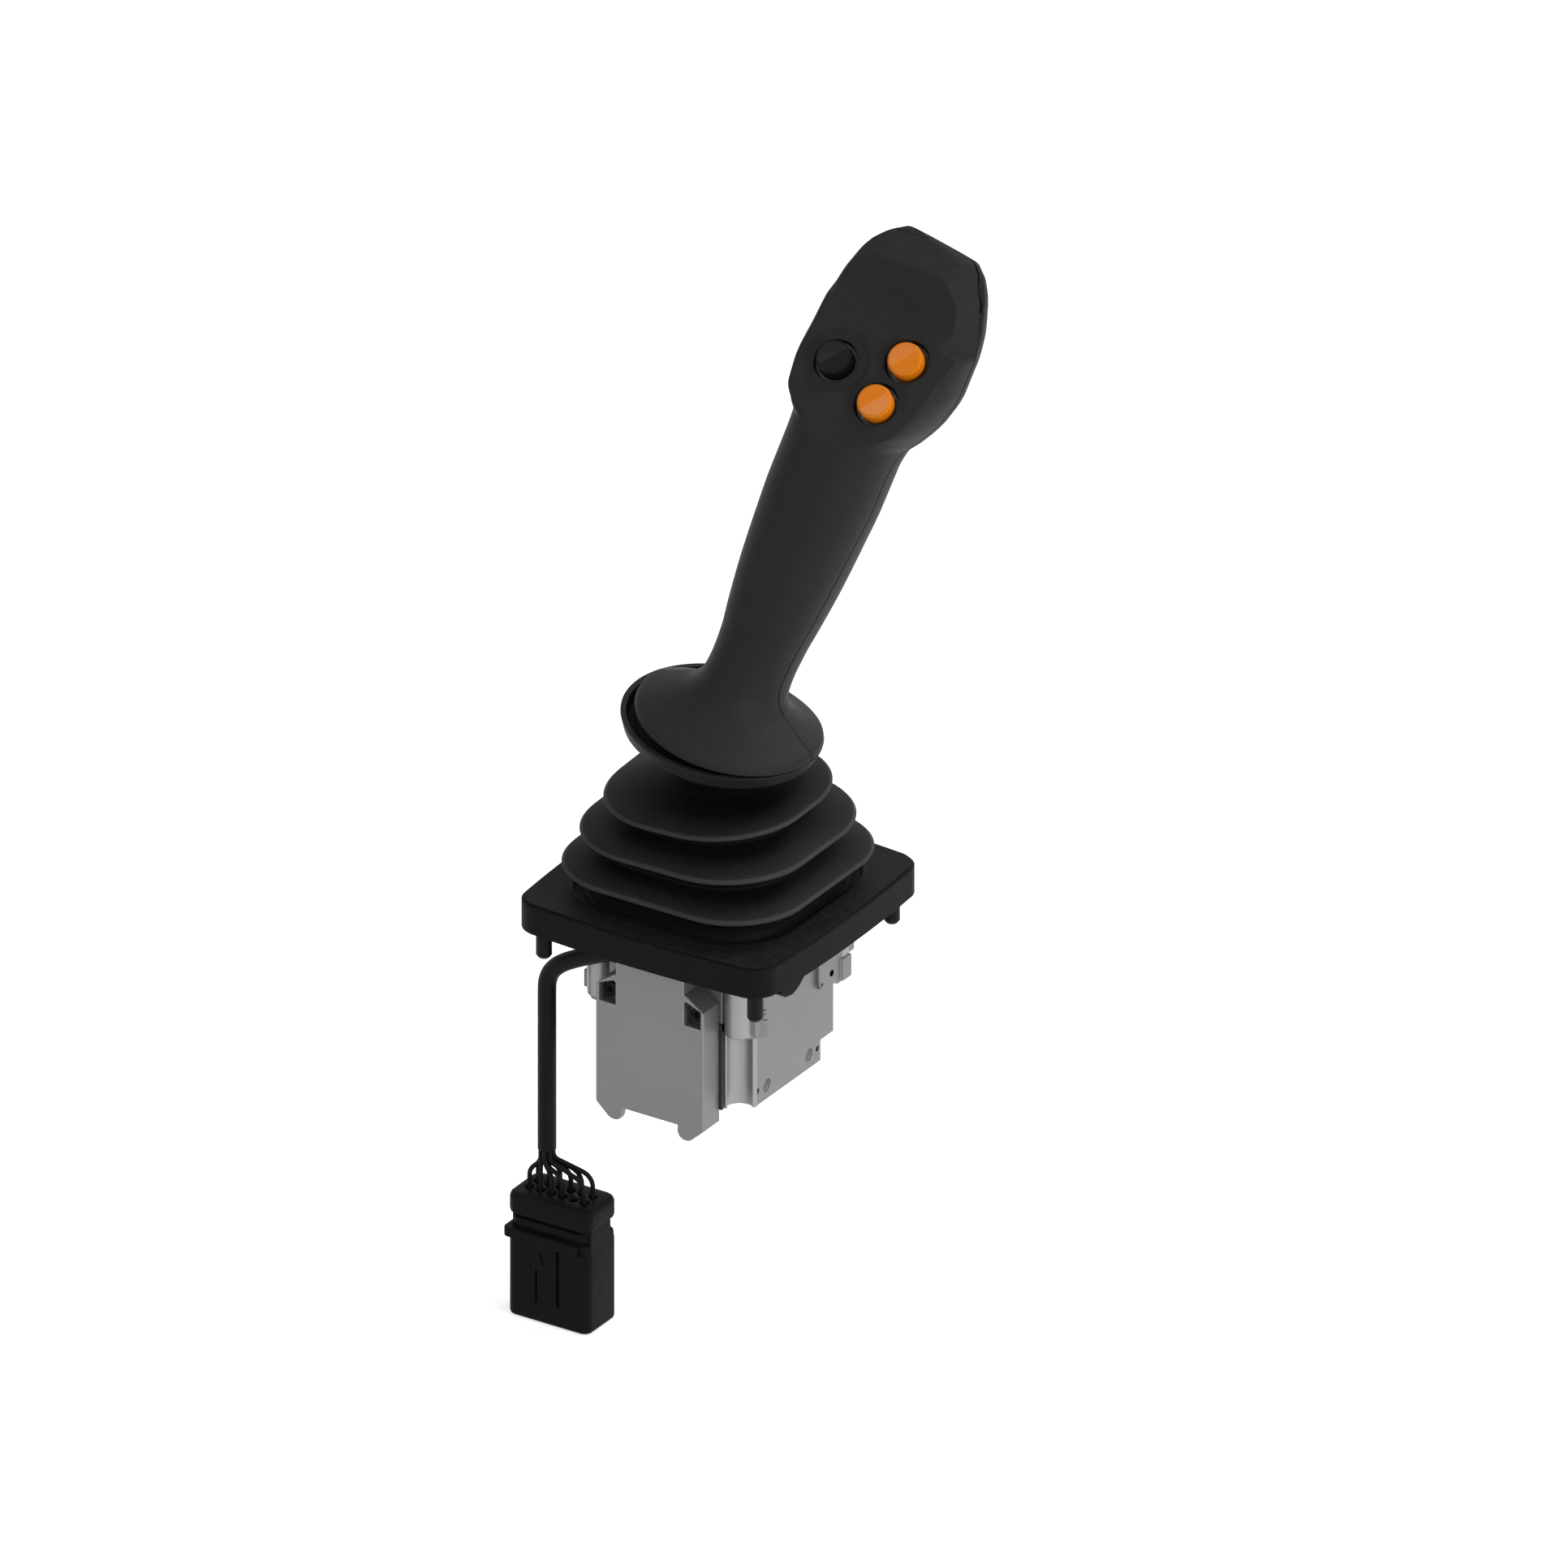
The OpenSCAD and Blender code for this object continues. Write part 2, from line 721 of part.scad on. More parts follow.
boot_rows = concat(
    [
        [boot_foot_z, boot_seat_half - 0.4, boot_seat_r],
        [boot_foot_z + boot_foot_t - 0.02, boot_seat_half - 0.4, boot_seat_r],
        [boot_foot_z + boot_foot_t, boot_seat_half - 3.4, boot_seat_r - 1],
        [boot_foot_z + boot_rise * 8.5, boot_seat_half - 4, boot_seat_r - 1]
    ],
    [for (row = boot_folds) [boot_foot_z + boot_rise * (row[0] - 4.5), row[1], row[2]]]
);
// Inner rows of the boot from its neck back down to its foot
function in_wall(level, half, straight) = [
    boot_foot_z + boot_rise * (level - 4.5),
    half - boot_wall + 1.8,
    half - boot_wall + 1.8 - straight
];
boot_inner_rows = [
    in_wall(55, boot_neck_r - 1.8, 0), in_wall(49.6, boot_neck_r - 1.8, 0),
    in_wall(47.7, 18, 0), in_wall(46.5, 21.3, 0), in_wall(44.3, 26, 0.6), in_wall(41.9, 30.9, 4.4),
    in_wall(40.2, 28.3, 2.6), in_wall(36.8, 26.8, 2.6), in_wall(33.6, 30.3, 4.4),
    in_wall(31.1, 35.2, 10), in_wall(29.6, 32.7, 8.4), in_wall(25.6, 31, 8.8),
    in_wall(22.3, 34.7, 11.4), in_wall(19.9, 39.4, 17), in_wall(18.3, 36.3, 14.4),
    in_wall(13.2, boot_seat_half - 5.8, boot_seat_half - 27),
    in_wall(4.5, boot_seat_half - 5.2, boot_seat_half - 26.4)
];
boot_n = 8;
function boot_ring(row) = [
    for (q = [0 : 3], i = [0 : boot_n - 1])
        let (
            a = 90 * q + 90 * i / (boot_n - 1),
            straight = max(row[1] - row[2], 0.01),
            sx = q == 0 || q == 3 ? 1 : -1,
            sy = q < 2 ? 1 : -1
        )
        [sx * straight + row[2] * cos(a), sy * straight + row[2] * sin(a), row[0]]
];

module boot() {
    rings = [for (row = concat(boot_rows, boot_inner_rows)) boot_ring(row)];
    n = 4 * boot_n;
    m = len(rings);
    color([0.14, 0.14, 0.145])
        polyhedron(
            points = [for (ring = rings) each ring],
            faces = [
                for (i = [0 : m - 1], k = [0 : n - 1])
                    let (j = (i + 1) % m, l = (k + 1) % n)
                    [i * n + l, i * n + k, j * n + k, j * n + l]
            ]
        );
}

// Frame that clamps the foot of the boot into the bezel
module boot_frame() {
    color([0.2, 0.2, 0.2])
        difference() {
            translate([0, 0, boot_foot_z + boot_foot_t])
                linear_extrude(height = frame_t)
                    round_rect(2 * boot_seat_half - 1, 2 * boot_seat_half - 1, boot_seat_r);
            translate([0, 0, boot_foot_z])
                linear_extrude(height = frame_t + boot_foot_t + 2)
                    round_rect(2 * boot_seat_half - 5.8, 2 * boot_seat_half - 5.8, boot_seat_r - 0.6);
        }
}

module cable_grommet() {
    color([0.1, 0.1, 0.1])
        translate([-shoulder_x, cable_y, route[0][2]])
            rotate([0, 90, 0])
                difference() {
                    cylinder(d = cable_d + 1.6, h = cover_wall, $fn = 48);
                    translate([0, 0, -1])
                        cylinder(d = cable_d, h = 6, $fn = 48);
                }
}

// Leads inside the cover, from the jacket's end down to the header on the board
header_x = -2.4;
module inner_leads() {
    color([0.4, 0.1, 0.1])
        tube([[route[0][0] + 0.1, cable_y, route[0][2]], [-8.4, cable_y, -5.6], [-5.4, cable_y, -6.6],
            [-3.3, cable_y, -9], [header_x, cable_y, -12.4], [header_x, cable_y, -22]], 1.9, 12);
}

// Round tube swept along points that lie in a plane of constant y
function route_dir(p, i) =
    let (a = p[max(i - 1, 0)], b = p[min(i + 1, len(p) - 1)]) (b - a) / norm(b - a);
function tube_ring(p, i, r, n) =
    let (t = route_dir(p, i), side = [t[2], 0, -t[0]])
    [for (k = [0 : n - 1]) p[i] + r * (cos(360 * k / n) * side + sin(360 * k / n) * [0, 1, 0])];
module tube(p, r, n) {
    last = len(p) - 1;
    polyhedron(
        points = [for (i = [0 : last]) each tube_ring(p, i, r, n)],
        faces = concat(
            [[for (k = [0 : n - 1]) k]],
            [for (i = [0 : last - 1], k = [0 : n - 1])
                [i * n + k, (i + 1) * n + k, (i + 1) * n + (k + 1) % n, i * n + (k + 1) % n]],
            [[for (k = [n - 1 : -1 : 0]) last * n + k]]
        )
    );
}

module cable() {
    color([0.09, 0.09, 0.09])
        tube(route, cable_d / 2, 12);
}

// Places of the contacts, numbered from the left in the front row and then the back row
function contact(i) = [
    plug_x + (i % 6 - 2.5) * pin_pitch,
    cable_y + (floor(i / 6) - 0.5) * row_pitch
];

// Where a lead leaves the jacket: three in the middle and eight round them
function lead_start(k) =
    let (n = k < 3 ? 3 : 8, a = 360 * (k < 3 ? k : k - 3 + 0.25) / n, r = k < 3 ? 0.78 : 2.2)
    [route[len(route) - 1][0] + r * cos(a), cable_y + r * sin(a), route[len(route) - 1][2]];
// Which lead goes to each contact, so that none crosses another
lead_of = [7, 8, 2, 9, -1, 10, 6, 5, 1, 0, 4, 3];

module wire_leads() {
    color([0.1, 0.1, 0.1])
        for (i = [0 : 11])
            if (i != empty_hole) {
                from = lead_start(lead_of[i]);
                to = [contact(i)[0], contact(i)[1], plug_top - 0.6];
                lead(concat([for (k = [0 : 8]) lead_point(from, to, k / 8)],
                    [[to[0], to[1], seal_floor + 0.1]]));
            }
}

// A lead leaves straight down, sweeps across, and enters its hole straight down
function lead_point(a, b, t) =
    let (u = 1 - pow(1 - t, 1.6), across = u * u * (3 - 2 * u))
    [a[0] + (b[0] - a[0]) * across, a[1] + (b[1] - a[1]) * across, a[2] + (b[2] - a[2]) * t];

// A thin round lead through points that run downwards
module lead(p) {
    sweep_wire([for (i = [0 : len(p) - 1]) lead_ring(p, i, 8)], 8);
}
function lead_ring(p, i, n) =
    let (
        t = i == 0 || i == len(p) - 1 ? [0, 0, -1] : way(p, i) / norm(way(p, i)),
        across = cross(t, [0, 1, 0]) / norm(cross(t, [0, 1, 0])),
        up = cross(across, t)
    )
    [for (k = [0 : n - 1]) p[i] + wire_d / 2 * (cos(360 * k / n) * across + sin(360 * k / n) * up)];

module plug_block(w, d, r, z0, z1) {
    translate([plug_x, cable_y, z0])
        linear_extrude(height = z1 - z0)
            round_rect(w, d, r);
}

module connector_body() {
    color([0.12, 0.12, 0.12])
        difference() {
            union() {
                plug_block(shroud_w + 0.4, shroud_d + 0.4, 3, -104, plug_top);
                plug_block(shroud_w - 2, shroud_d - 2, 3, -106, -104);
                plug_block(shroud_w, shroud_d, 3, -109.3, -106);
                plug_block(shroud_w, shroud_d + 2.4, 3, plug_flange[1], plug_flange[0]);
                plug_block(shroud_w, shroud_d, 3, plug_low, plug_flange[1]);
                for (s = [-1, 1])
                    translate([plug_x + s * (shroud_w / 2 - 1), cable_y, 0])
                        bar(-1, 1, -6.4, 6.4, plug_flange[1], -98);
            }
            plug_block(shroud_w - 2 * shroud_wall, shroud_d - 2 * shroud_wall, 1.6,
                plug_low - 1, floor_level);
            plug_block(shroud_w - 2 * shroud_wall, shroud_d - 2 * shroud_wall, 1.6,
                -104, plug_top + 1);
            for (i = [0 : 11])
                translate([contact(i)[0], contact(i)[1], 0])
                    bar(-wire_hole_d / 2, wire_hole_d / 2, -wire_hole_d / 2, wire_hole_d / 2,
                        floor_level - 1, seal_floor + 1);
        }
}

module connector_seal() {
    color([0.1, 0.1, 0.1])
        difference() {
            plug_block(shroud_w - 2 * shroud_wall, shroud_d - 2 * shroud_wall, 1.6, seal_floor, seal_top);
            for (i = [0 : 11])
                translate([contact(i)[0], contact(i)[1], 0]) {
                    rod(wire_hole_d, i == empty_hole ? seal_floor - 1 : seal_top - 1.6, seal_top + 1);
                    rod(wire_d + 0.1, seal_floor - 1, seal_top);
                }
        }
}

module terminal_wedge() {
    color([0.85, 0.35, 0.08])
        difference() {
            plug_block(shroud_w - 9, 2.6, 0.8, floor_level - 4, floor_level);
            plug_block(6, 1, 0.4, floor_level - 5, floor_level - 2);
        }
}

module contact_pins() {
    color([0.8, 0.78, 0.7])
        for (i = [0 : 11])
            if (i != empty_hole)
                translate([contact(i)[0], contact(i)[1], 0]) {
                    rod(pin_d_c, -130, floor_level + 1);
                    rod(wire_hole_d, floor_level, -106);
                }
}

module gimbal_ring() {
    color([0.7, 0.7, 0.72])
        difference() {
            translate([0, 0, -pivot_depth - ring_h / 2])
                linear_extrude(height = ring_h)
                    difference() {
                        round_rect(2 * ring_half_x, 2 * ring_half_y, 3);
                        square([hub_d + 2 * hub_gap, 2 * ring_open_y], center = true);
                    }
            translate([0, 0, -pivot_depth]) {
                rotate([0, 90, 0])
                    cylinder(d = pin_d, h = 60, center = true, $fn = 64);
                rotate([90, 0, 0])
                    cylinder(d = pin_d, h = 60, center = true, $fn = 64);
            }
        }
}

module gimbal_pins() {
    color([0.8, 0.8, 0.82])
        for (s = [-1, 1])
            translate([s * (hub_d / 2 + hub_gap), 0, -pivot_depth])
                rotate([0, s * 90, 0])
                    cylinder(d = pin_d, h = bush_inner + bush_len - hub_d / 2 - hub_gap - 0.4,
                        $fn = 64);
}

module cross_pin() {
    color([0.8, 0.8, 0.82])
        translate([0, 0, -pivot_depth])
            rotate([90, 0, 0])
                cylinder(d = pin_d, h = 2 * ring_half_y, center = true, $fn = 64);
}

// Points of a helix round the Z axis with a straight leg at each end
spring_steps = 14;
function helix(r, pitch, turns, leg) = concat(
    [[r, -leg, 0]],
    [for (i = [0 : spring_steps * turns])
        let (a = 360 * i / spring_steps) [r * cos(a), r * sin(a), pitch * i / spring_steps]],
    [[r, leg, pitch * turns]]
);
function way(p, i) = (p[min(i + 1, len(p) - 1)] - p[max(i - 1, 0)]);
function helix_ring(p, i, r, n) =
    let (
        t = way(p, i) / norm(way(p, i)),
        across = cross(t, [0, 0, 1]) / norm(cross(t, [0, 0, 1])),
        up = cross(across, t)
    )
    [for (k = [0 : n - 1]) p[i] + r * (cos(360 * k / n) * across + sin(360 * k / n) * up)];

// A solid from the rings of points along a wire
module sweep_wire(rings, n) {
    last = len(rings) - 1;
    polyhedron(
        points = [for (ring = rings) each ring],
        faces = concat(
            [[for (k = [0 : n - 1]) k]],
            [for (i = [0 : last - 1], k = [0 : n - 1])
                [i * n + k, (i + 1) * n + k, (i + 1) * n + (k + 1) % n, i * n + (k + 1) % n]],
            [[for (k = [n - 1 : -1 : 0]) last * n + k]]
        )
    );
}

module spring(r, leg) {
    p = helix(r, spring_wire * 1.06, spring_turns, leg);
    sweep_wire([for (i = [0 : len(p) - 1]) helix_ring(p, i, spring_wire / 2, 8)], 8);
}

spring_r = pin_d / 2 + spring_wire / 2 + 0.3;

module side_springs() {
    color([0.6, 0.6, 0.62])
        for (s = [0, 1])
            mirror([s, 0, 0])
                translate([ring_half_x + spring_wire / 2 + 0.1, 0, -pivot_depth])
                    rotate([0, 90, 0])
                        spring(spring_r, 7);
}

module front_springs() {
    color([0.6, 0.6, 0.62])
        for (s = [0, 1])
            mirror([0, s, 0])
                translate([0, hub_len / 2 + spring_wire / 2 + 0.35, -pivot_depth])
                    rotate([-90, 0, 0])
                        spring(spring_r, 5);
}

module lever_shaft() {
    color([0.75, 0.75, 0.78])
        difference() {
            union() {
                translate([0, 0, -pivot_depth])
                    rotate([90, 0, 0])
                        cylinder(d = hub_d, h = hub_len, center = true, $fn = 96);
                rod(shaft_d, -pivot_depth, shaft_top);
                rod(tail_d, -tail_level, -pivot_depth);
            }
            translate([0, 0, -pivot_depth])
                rotate([90, 0, 0])
                    cylinder(d = pin_d + 2 * run_gap, h = hub_len + 2, center = true, $fn = 64);
            rod(shaft_bore, -5, shaft_top + 1);
            rod(magnet_d, -tail_level - 1, -tail_level + magnet_t);
            translate([0, 0, -2])
                rotate([-90, 0, 0])
                    cylinder(d = 4, h = 20, $fn = 32);
        }
}

module tail_magnet() {
    color([0.5, 0.5, 0.52])
        rod(magnet_d, -tail_level, -tail_level + magnet_t);
}

// Ring that holds the neck of the boot on the shaft
module boot_clamp() {
    color([0.15, 0.15, 0.15])
        difference() {
            rod(2 * (boot_neck_r - boot_wall) - 0.2, boot_top - 4.6, boot_top + 0.4);
            rod(shaft_d + 0.06, boot_top - 6, boot_top + 2);
        }
}

// Profile of the dish: radius and level, from the centre out to the rim
cup_hole = 10.4;
cup_floor = -6.8;
module grip_cup() {
    color([0.15, 0.15, 0.155])
        difference() {
            in_cup()
                rotate_extrude($fn = 128)
                    polygon([
                        [cup_hole, cup_floor - 2.2], [22, cup_floor - 2.2], [28, -7.2], [31.6, -4.4],
                        [cup_r, -0.6], [cup_r, 0], [cup_r - 1.8, 0], [cup_r - 3, -3.4],
                        [26.6, -5.4], [21, cup_floor], [cup_hole, cup_floor]
                    ]);
            for (droop = [0, atan(skirt_drop / skirt_r)])
                translate(grip_at)
                    rotate([0, grip_lean, 0])
                        rotate([-droop, 0, 0])
                            translate([0, 0, -0.85])
                                cylinder(r = skirt_r + (droop > 0 ? 14 : 0.15), h = 20, $fn = 128);
        }
}

// Block that turns the upright shaft into the leaning spine, with a flange on the dish
adapter_d = 18;
adapter_foot = boot_top + 1;
module grip_adapter() {
    color([0.7, 0.7, 0.72])
        difference() {
            union() {
                rod(adapter_d, adapter_foot, shaft_top + 2);
                in_cup()
                    rod(28, cup_floor, cup_floor + 2.4);
                in_grip() {
                    rod(adapter_d, -8, 3.8);
                    rod(spine_d - 4.1, 3.8, 14);
                }
            }
            rod(shaft_d + 0.06, adapter_foot - 1, shaft_top);
            rod(shaft_bore, shaft_top - 1, shaft_top + 2);
            in_grip()
                rod(shaft_bore, -6.5, 15);
            translate([0, 0, adapter_foot + 1.8])
                rotate([0, 90, 0])
                    cylinder(d = 3, h = 20, $fn = 32);
        }
}

module clamp_screw() {
    color([0.6, 0.6, 0.62])
        translate([shaft_d / 2, 0, adapter_foot + 1.8])
            rotate([0, 90, 0])
                difference() {
                    cylinder(d = 3, h = 3.2, $fn = 32);
                    translate([0, 0, 2])
                        cylinder(d = 1.6, h = 2, $fn = 6);
                }
}

spine_from = 4;
spine_to = 80;
spine_wall = 2;
module grip_spine() {
    color([0.7, 0.7, 0.72])
        in_grip()
            difference() {
                rod(spine_d, spine_from, spine_to);
                rod(spine_d - 2 * spine_wall, spine_from - 1, spine_to + 1);
            }
}

shell_screw_d = 2.2;
// Screw places in the grip: across, along the axis, front end, back end, and head level
shell_posts = [[10.9, 68, -13.6, 14.6, 15], [-10.9, 68, -13.6, 14.6, 15], [0, 151, 5, 20, 20]];
module along_depth(post, from, to, d) {
    translate([post[0], from, post[1]])
        rotate([-90, 0, 0])
            cylinder(d = d, h = to - from, $fn = 24);
}

module grip_front_shell() {
    color([0.19, 0.19, 0.195])
        in_grip()
            difference() {
                union() {
                    grip_shell();
                    for (post = shell_posts)
                        along_depth(post, post[2], 12, 5);
                }
                rear_half();
                button_holes();
                for (post = shell_posts)
                    along_depth(post, post[2] + 2.4, 30, shell_screw_d + 0.1);
            }
}

module grip_rear_shell() {
    color([0.19, 0.19, 0.195])
        in_grip()
            difference() {
                intersection() {
                    union() {
                        grip_shell();
                        for (post = shell_posts)
                            along_depth(post, post[2], post[3], 5);
                    }
                    rear_half();
                }
                for (post = shell_posts) {
                    along_depth(post, -20, 30, shell_screw_d + 0.2);
                    along_depth(post, post[4] - 2, 30, 4.2);
                }
            }
}

module shell_screws() {
    color([0.6, 0.6, 0.62])
        in_grip()
            for (post = shell_posts) {
                along_depth(post, post[2] + 2.6, post[4] - 1, shell_screw_d);
                difference() {
                    along_depth(post, post[4] - 2, post[4] - 0.4, 4);
                    along_depth(post, post[4] - 1.2, post[4] + 1, 1.8);
                }
            }
}

// A straight lead between two points of the grip
module straight_lead(a, b, d) {
    v = b - a;
    translate(a)
        rotate([0, acos(v[2] / norm(v)), atan2(v[1], v[0])])
            cylinder(d = d, h = norm(v), $fn = 24);
}

bundle_top = 98;
module grip_wiring() {
    color([0.6, 0.1, 0.1]) {
        in_grip() {
            rod(shaft_bore - 1, -5, bundle_top);
            for (place = button_places)
                straight_lead([0, 0, bundle_top - 2], [
                    place[0],
                    face_mid[0] + place[1] * sin(face_tilt) + (switch_low + 1) * cos(face_tilt),
                    face_mid[1] + place[1] * cos(face_tilt) - (switch_low + 1) * sin(face_tilt)
                ], 1.8);
        }
        rod(shaft_bore - 1, -4, shaft_top + 1.9);
    }
}

// Housings of the three switches: a lip that keeps the cap, a chamber and a blind guide hole
module switch_bodies() {
    color([0.1, 0.1, 0.1])
        for (place = button_places)
            in_face(place)
                difference() {
                    rod(switch_d, -switch_low, -pocket_depth);
                    rod(cap_d + 0.5, -pocket_depth - 2, 0);
                    rod(2 * cap_flange + 0.6, -6.4, -pocket_depth - 0.9);
                    rod(stem_d + 0.6, -11.6, -6);
                }
}

module button_springs() {
    color([0.7, 0.7, 0.72])
        for (place = button_places)
            in_face(place)
                translate([0, 0, -6.4 + 0.32])
                    wire_coil(spring_d_b / 2, 1.8, 3, 0.3);
}

// A coil of thin wire round the Z axis
module wire_coil(r, pitch, turns, wire_r) {
    steps = 12;
    n = 6;
    p = [for (i = [0 : steps * turns])
        [r * cos(360 * i / steps), r * sin(360 * i / steps), pitch * i / steps]];
    sweep_wire([for (i = [0 : len(p) - 1]) helix_ring(p, i, wire_r, n)], n);
}

// A cap with a round top edge, hollow for its spring, on a guide stem
module button(place) {
    in_face(place)
        rotate_extrude($fn = 96)
            polygon([
                [0, cap_proud], [cap_d / 2 - 0.8, cap_proud], [cap_d / 2 - 0.2, cap_proud - 0.3],
                [cap_d / 2, cap_proud - 0.9], [cap_d / 2, -pocket_depth - 1.2],
                [cap_flange, -pocket_depth - 1.2], [cap_flange, -pocket_depth - 2],
                [4.7, -pocket_depth - 2], [4.7, cap_proud - 1.6], [stem_d / 2, cap_proud - 1.6],
                [stem_d / 2, -9], [0, -9]
            ]);
}

module left_button() {
    color([0.12, 0.12, 0.12])
        button(button_places[0]);
}

module upper_button() {
    color([0.85, 0.45, 0.06])
        button(button_places[1]);
}

module lower_button() {
    color([0.85, 0.45, 0.06])
        button(button_places[2]);
}

bezel_flange();
mounting_studs();
base_housing();
front_cover();
cover_screws();
body_screws();
circuit_board();
board_chips();
sensor_board();
sensor_chip();
board_link();
pivot_bushes();
boot();
boot_frame();
cable_grommet();
inner_leads();
cable();
wire_leads();
connector_body();
connector_seal();
terminal_wedge();
contact_pins();
gimbal_ring();
gimbal_pins();
cross_pin();
side_springs();
front_springs();
lever_shaft();
tail_magnet();
boot_clamp();
grip_cup();
grip_adapter();
clamp_screw();
grip_spine();
grip_front_shell();
grip_rear_shell();
shell_screws();
grip_wiring();
switch_bodies();
button_springs();
left_button();
upper_button();
lower_button();
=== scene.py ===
import json
import math

import bmesh
import bpy
import numpy as np
from mathutils import Matrix, Vector


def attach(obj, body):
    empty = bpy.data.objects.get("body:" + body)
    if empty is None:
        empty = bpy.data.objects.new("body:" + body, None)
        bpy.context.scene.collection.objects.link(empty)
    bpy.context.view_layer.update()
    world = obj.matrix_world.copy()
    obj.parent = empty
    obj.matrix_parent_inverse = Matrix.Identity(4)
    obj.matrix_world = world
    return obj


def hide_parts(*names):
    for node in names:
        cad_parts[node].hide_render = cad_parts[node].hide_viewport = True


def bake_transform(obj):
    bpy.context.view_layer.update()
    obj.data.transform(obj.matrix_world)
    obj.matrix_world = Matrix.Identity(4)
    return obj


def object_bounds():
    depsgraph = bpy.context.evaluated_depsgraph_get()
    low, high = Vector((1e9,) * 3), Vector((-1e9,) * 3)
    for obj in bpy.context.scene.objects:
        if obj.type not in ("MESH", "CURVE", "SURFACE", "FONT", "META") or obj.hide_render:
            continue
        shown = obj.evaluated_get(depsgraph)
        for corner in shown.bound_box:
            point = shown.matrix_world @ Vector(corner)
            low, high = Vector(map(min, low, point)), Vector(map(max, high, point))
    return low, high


# Frame, and the box of the CAD model
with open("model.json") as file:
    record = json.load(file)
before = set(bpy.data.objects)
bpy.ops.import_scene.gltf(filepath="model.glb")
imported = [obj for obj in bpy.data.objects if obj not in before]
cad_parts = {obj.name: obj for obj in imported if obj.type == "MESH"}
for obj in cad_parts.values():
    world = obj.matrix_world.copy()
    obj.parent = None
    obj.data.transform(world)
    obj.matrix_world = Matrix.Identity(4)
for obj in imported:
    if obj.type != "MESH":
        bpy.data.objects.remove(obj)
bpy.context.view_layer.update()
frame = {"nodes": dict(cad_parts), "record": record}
nodes = frame["nodes"]
MM = 0.001
scene = bpy.context.scene
scene.view_settings.view_transform = "Standard"

# Camera at the photograph's angle, without perspective
RIGHT = Vector((0.8395, 0.5434, 0.0)).normalized()
VIEW = Vector((0.4815, -0.7439, 0.4635)).normalized()
UP = VIEW.cross(RIGHT).normalized()
TARGET = Vector((0.025022, 0.0, 0.051527))
CAMERA_AWAY = 1.2
PHOTO_SIDE, PIXELS_PER_METRE = 1932, 3875
cam_data = bpy.data.cameras.new("camera")
cam_data.type = "ORTHO"
cam_data.ortho_scale = PHOTO_SIDE / PIXELS_PER_METRE
cam_data.clip_end = 20
camera = bpy.data.objects.new("camera", cam_data)
scene.collection.objects.link(camera)
facing = Matrix((RIGHT, UP, VIEW)).transposed().to_4x4()
camera.matrix_world = Matrix.Translation(TARGET + VIEW * CAMERA_AWAY) @ facing
scene.camera = camera


# Helpers for meshes: points are in millimetres
def raw_object(name, verts, faces):
    me = bpy.data.meshes.new(name)
    me.from_pydata([tuple(float(c) * MM for c in v) for v in verts], [], faces)
    obj = bpy.data.objects.new(name, me)
    scene.collection.objects.link(obj)
    return obj


def loose_object(name, verts, faces):
    obj = raw_object(name, verts, faces)
    finish_mesh(obj, None)
    return obj


def new_object(name, verts, faces, body, look, angle=32, slot=None):
    obj = raw_object(name, verts, faces)
    obj.data.validate()
    dress(obj, body, look, angle)
    return obj


def dress(obj, body, look, angle):
    finish_mesh(obj, M[look], angle)
    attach(obj, body)


def finish_mesh(obj, material, angle=32):
    me = obj.data
    bm = bmesh.new()
    bm.from_mesh(me)
    bmesh.ops.recalc_face_normals(bm, faces=bm.faces)
    bm.to_mesh(me)
    bm.free()
    me.materials.clear()
    if material is not None:
        me.materials.append(material)
    me.shade_smooth()
    if angle < 180:
        me.set_sharp_from_angle(angle=math.radians(angle))


def modify(obj, kind, **settings):
    mod = obj.modifiers.new(kind.lower(), kind)
    for key, value in settings.items():
        setattr(mod, key, value)
    return mod


def apply_all(obj):
    graph = bpy.context.evaluated_depsgraph_get()
    me = bpy.data.meshes.new_from_object(obj.evaluated_get(graph))
    old = obj.data
    obj.modifiers.clear()
    obj.data = me
    bpy.data.meshes.remove(old)


def carve(obj, cutter):
    modify(obj, "BOOLEAN", operation="DIFFERENCE", solver="EXACT", object=cutter)
    apply_all(obj)
    drop(cutter)


def drop(obj):
    me = obj.data
    bpy.data.objects.remove(obj)
    bpy.data.meshes.remove(me)


# Faces between rows of points, each row closed to a ring or left open
def grid_faces(rows, cols, ring=True, flip=False, start=0):
    faces = []
    for i in range(rows - 1):
        for k in range(cols if ring else cols - 1):
            a = start + i * cols + k
            b = start + i * cols + (k + 1) % cols
            face = (a, b, b + cols, a + cols)
            faces.append(face[::-1] if flip else face)
    return faces


def rings_mesh(rings):
    n = len(rings[0])
    verts = [p for ring in rings for p in ring]
    faces = grid_faces(len(rings), n)
    faces.append(tuple(range(n - 1, -1, -1)))
    faces.append(tuple(range((len(rings) - 1) * n, len(rings) * n)))
    return verts, faces


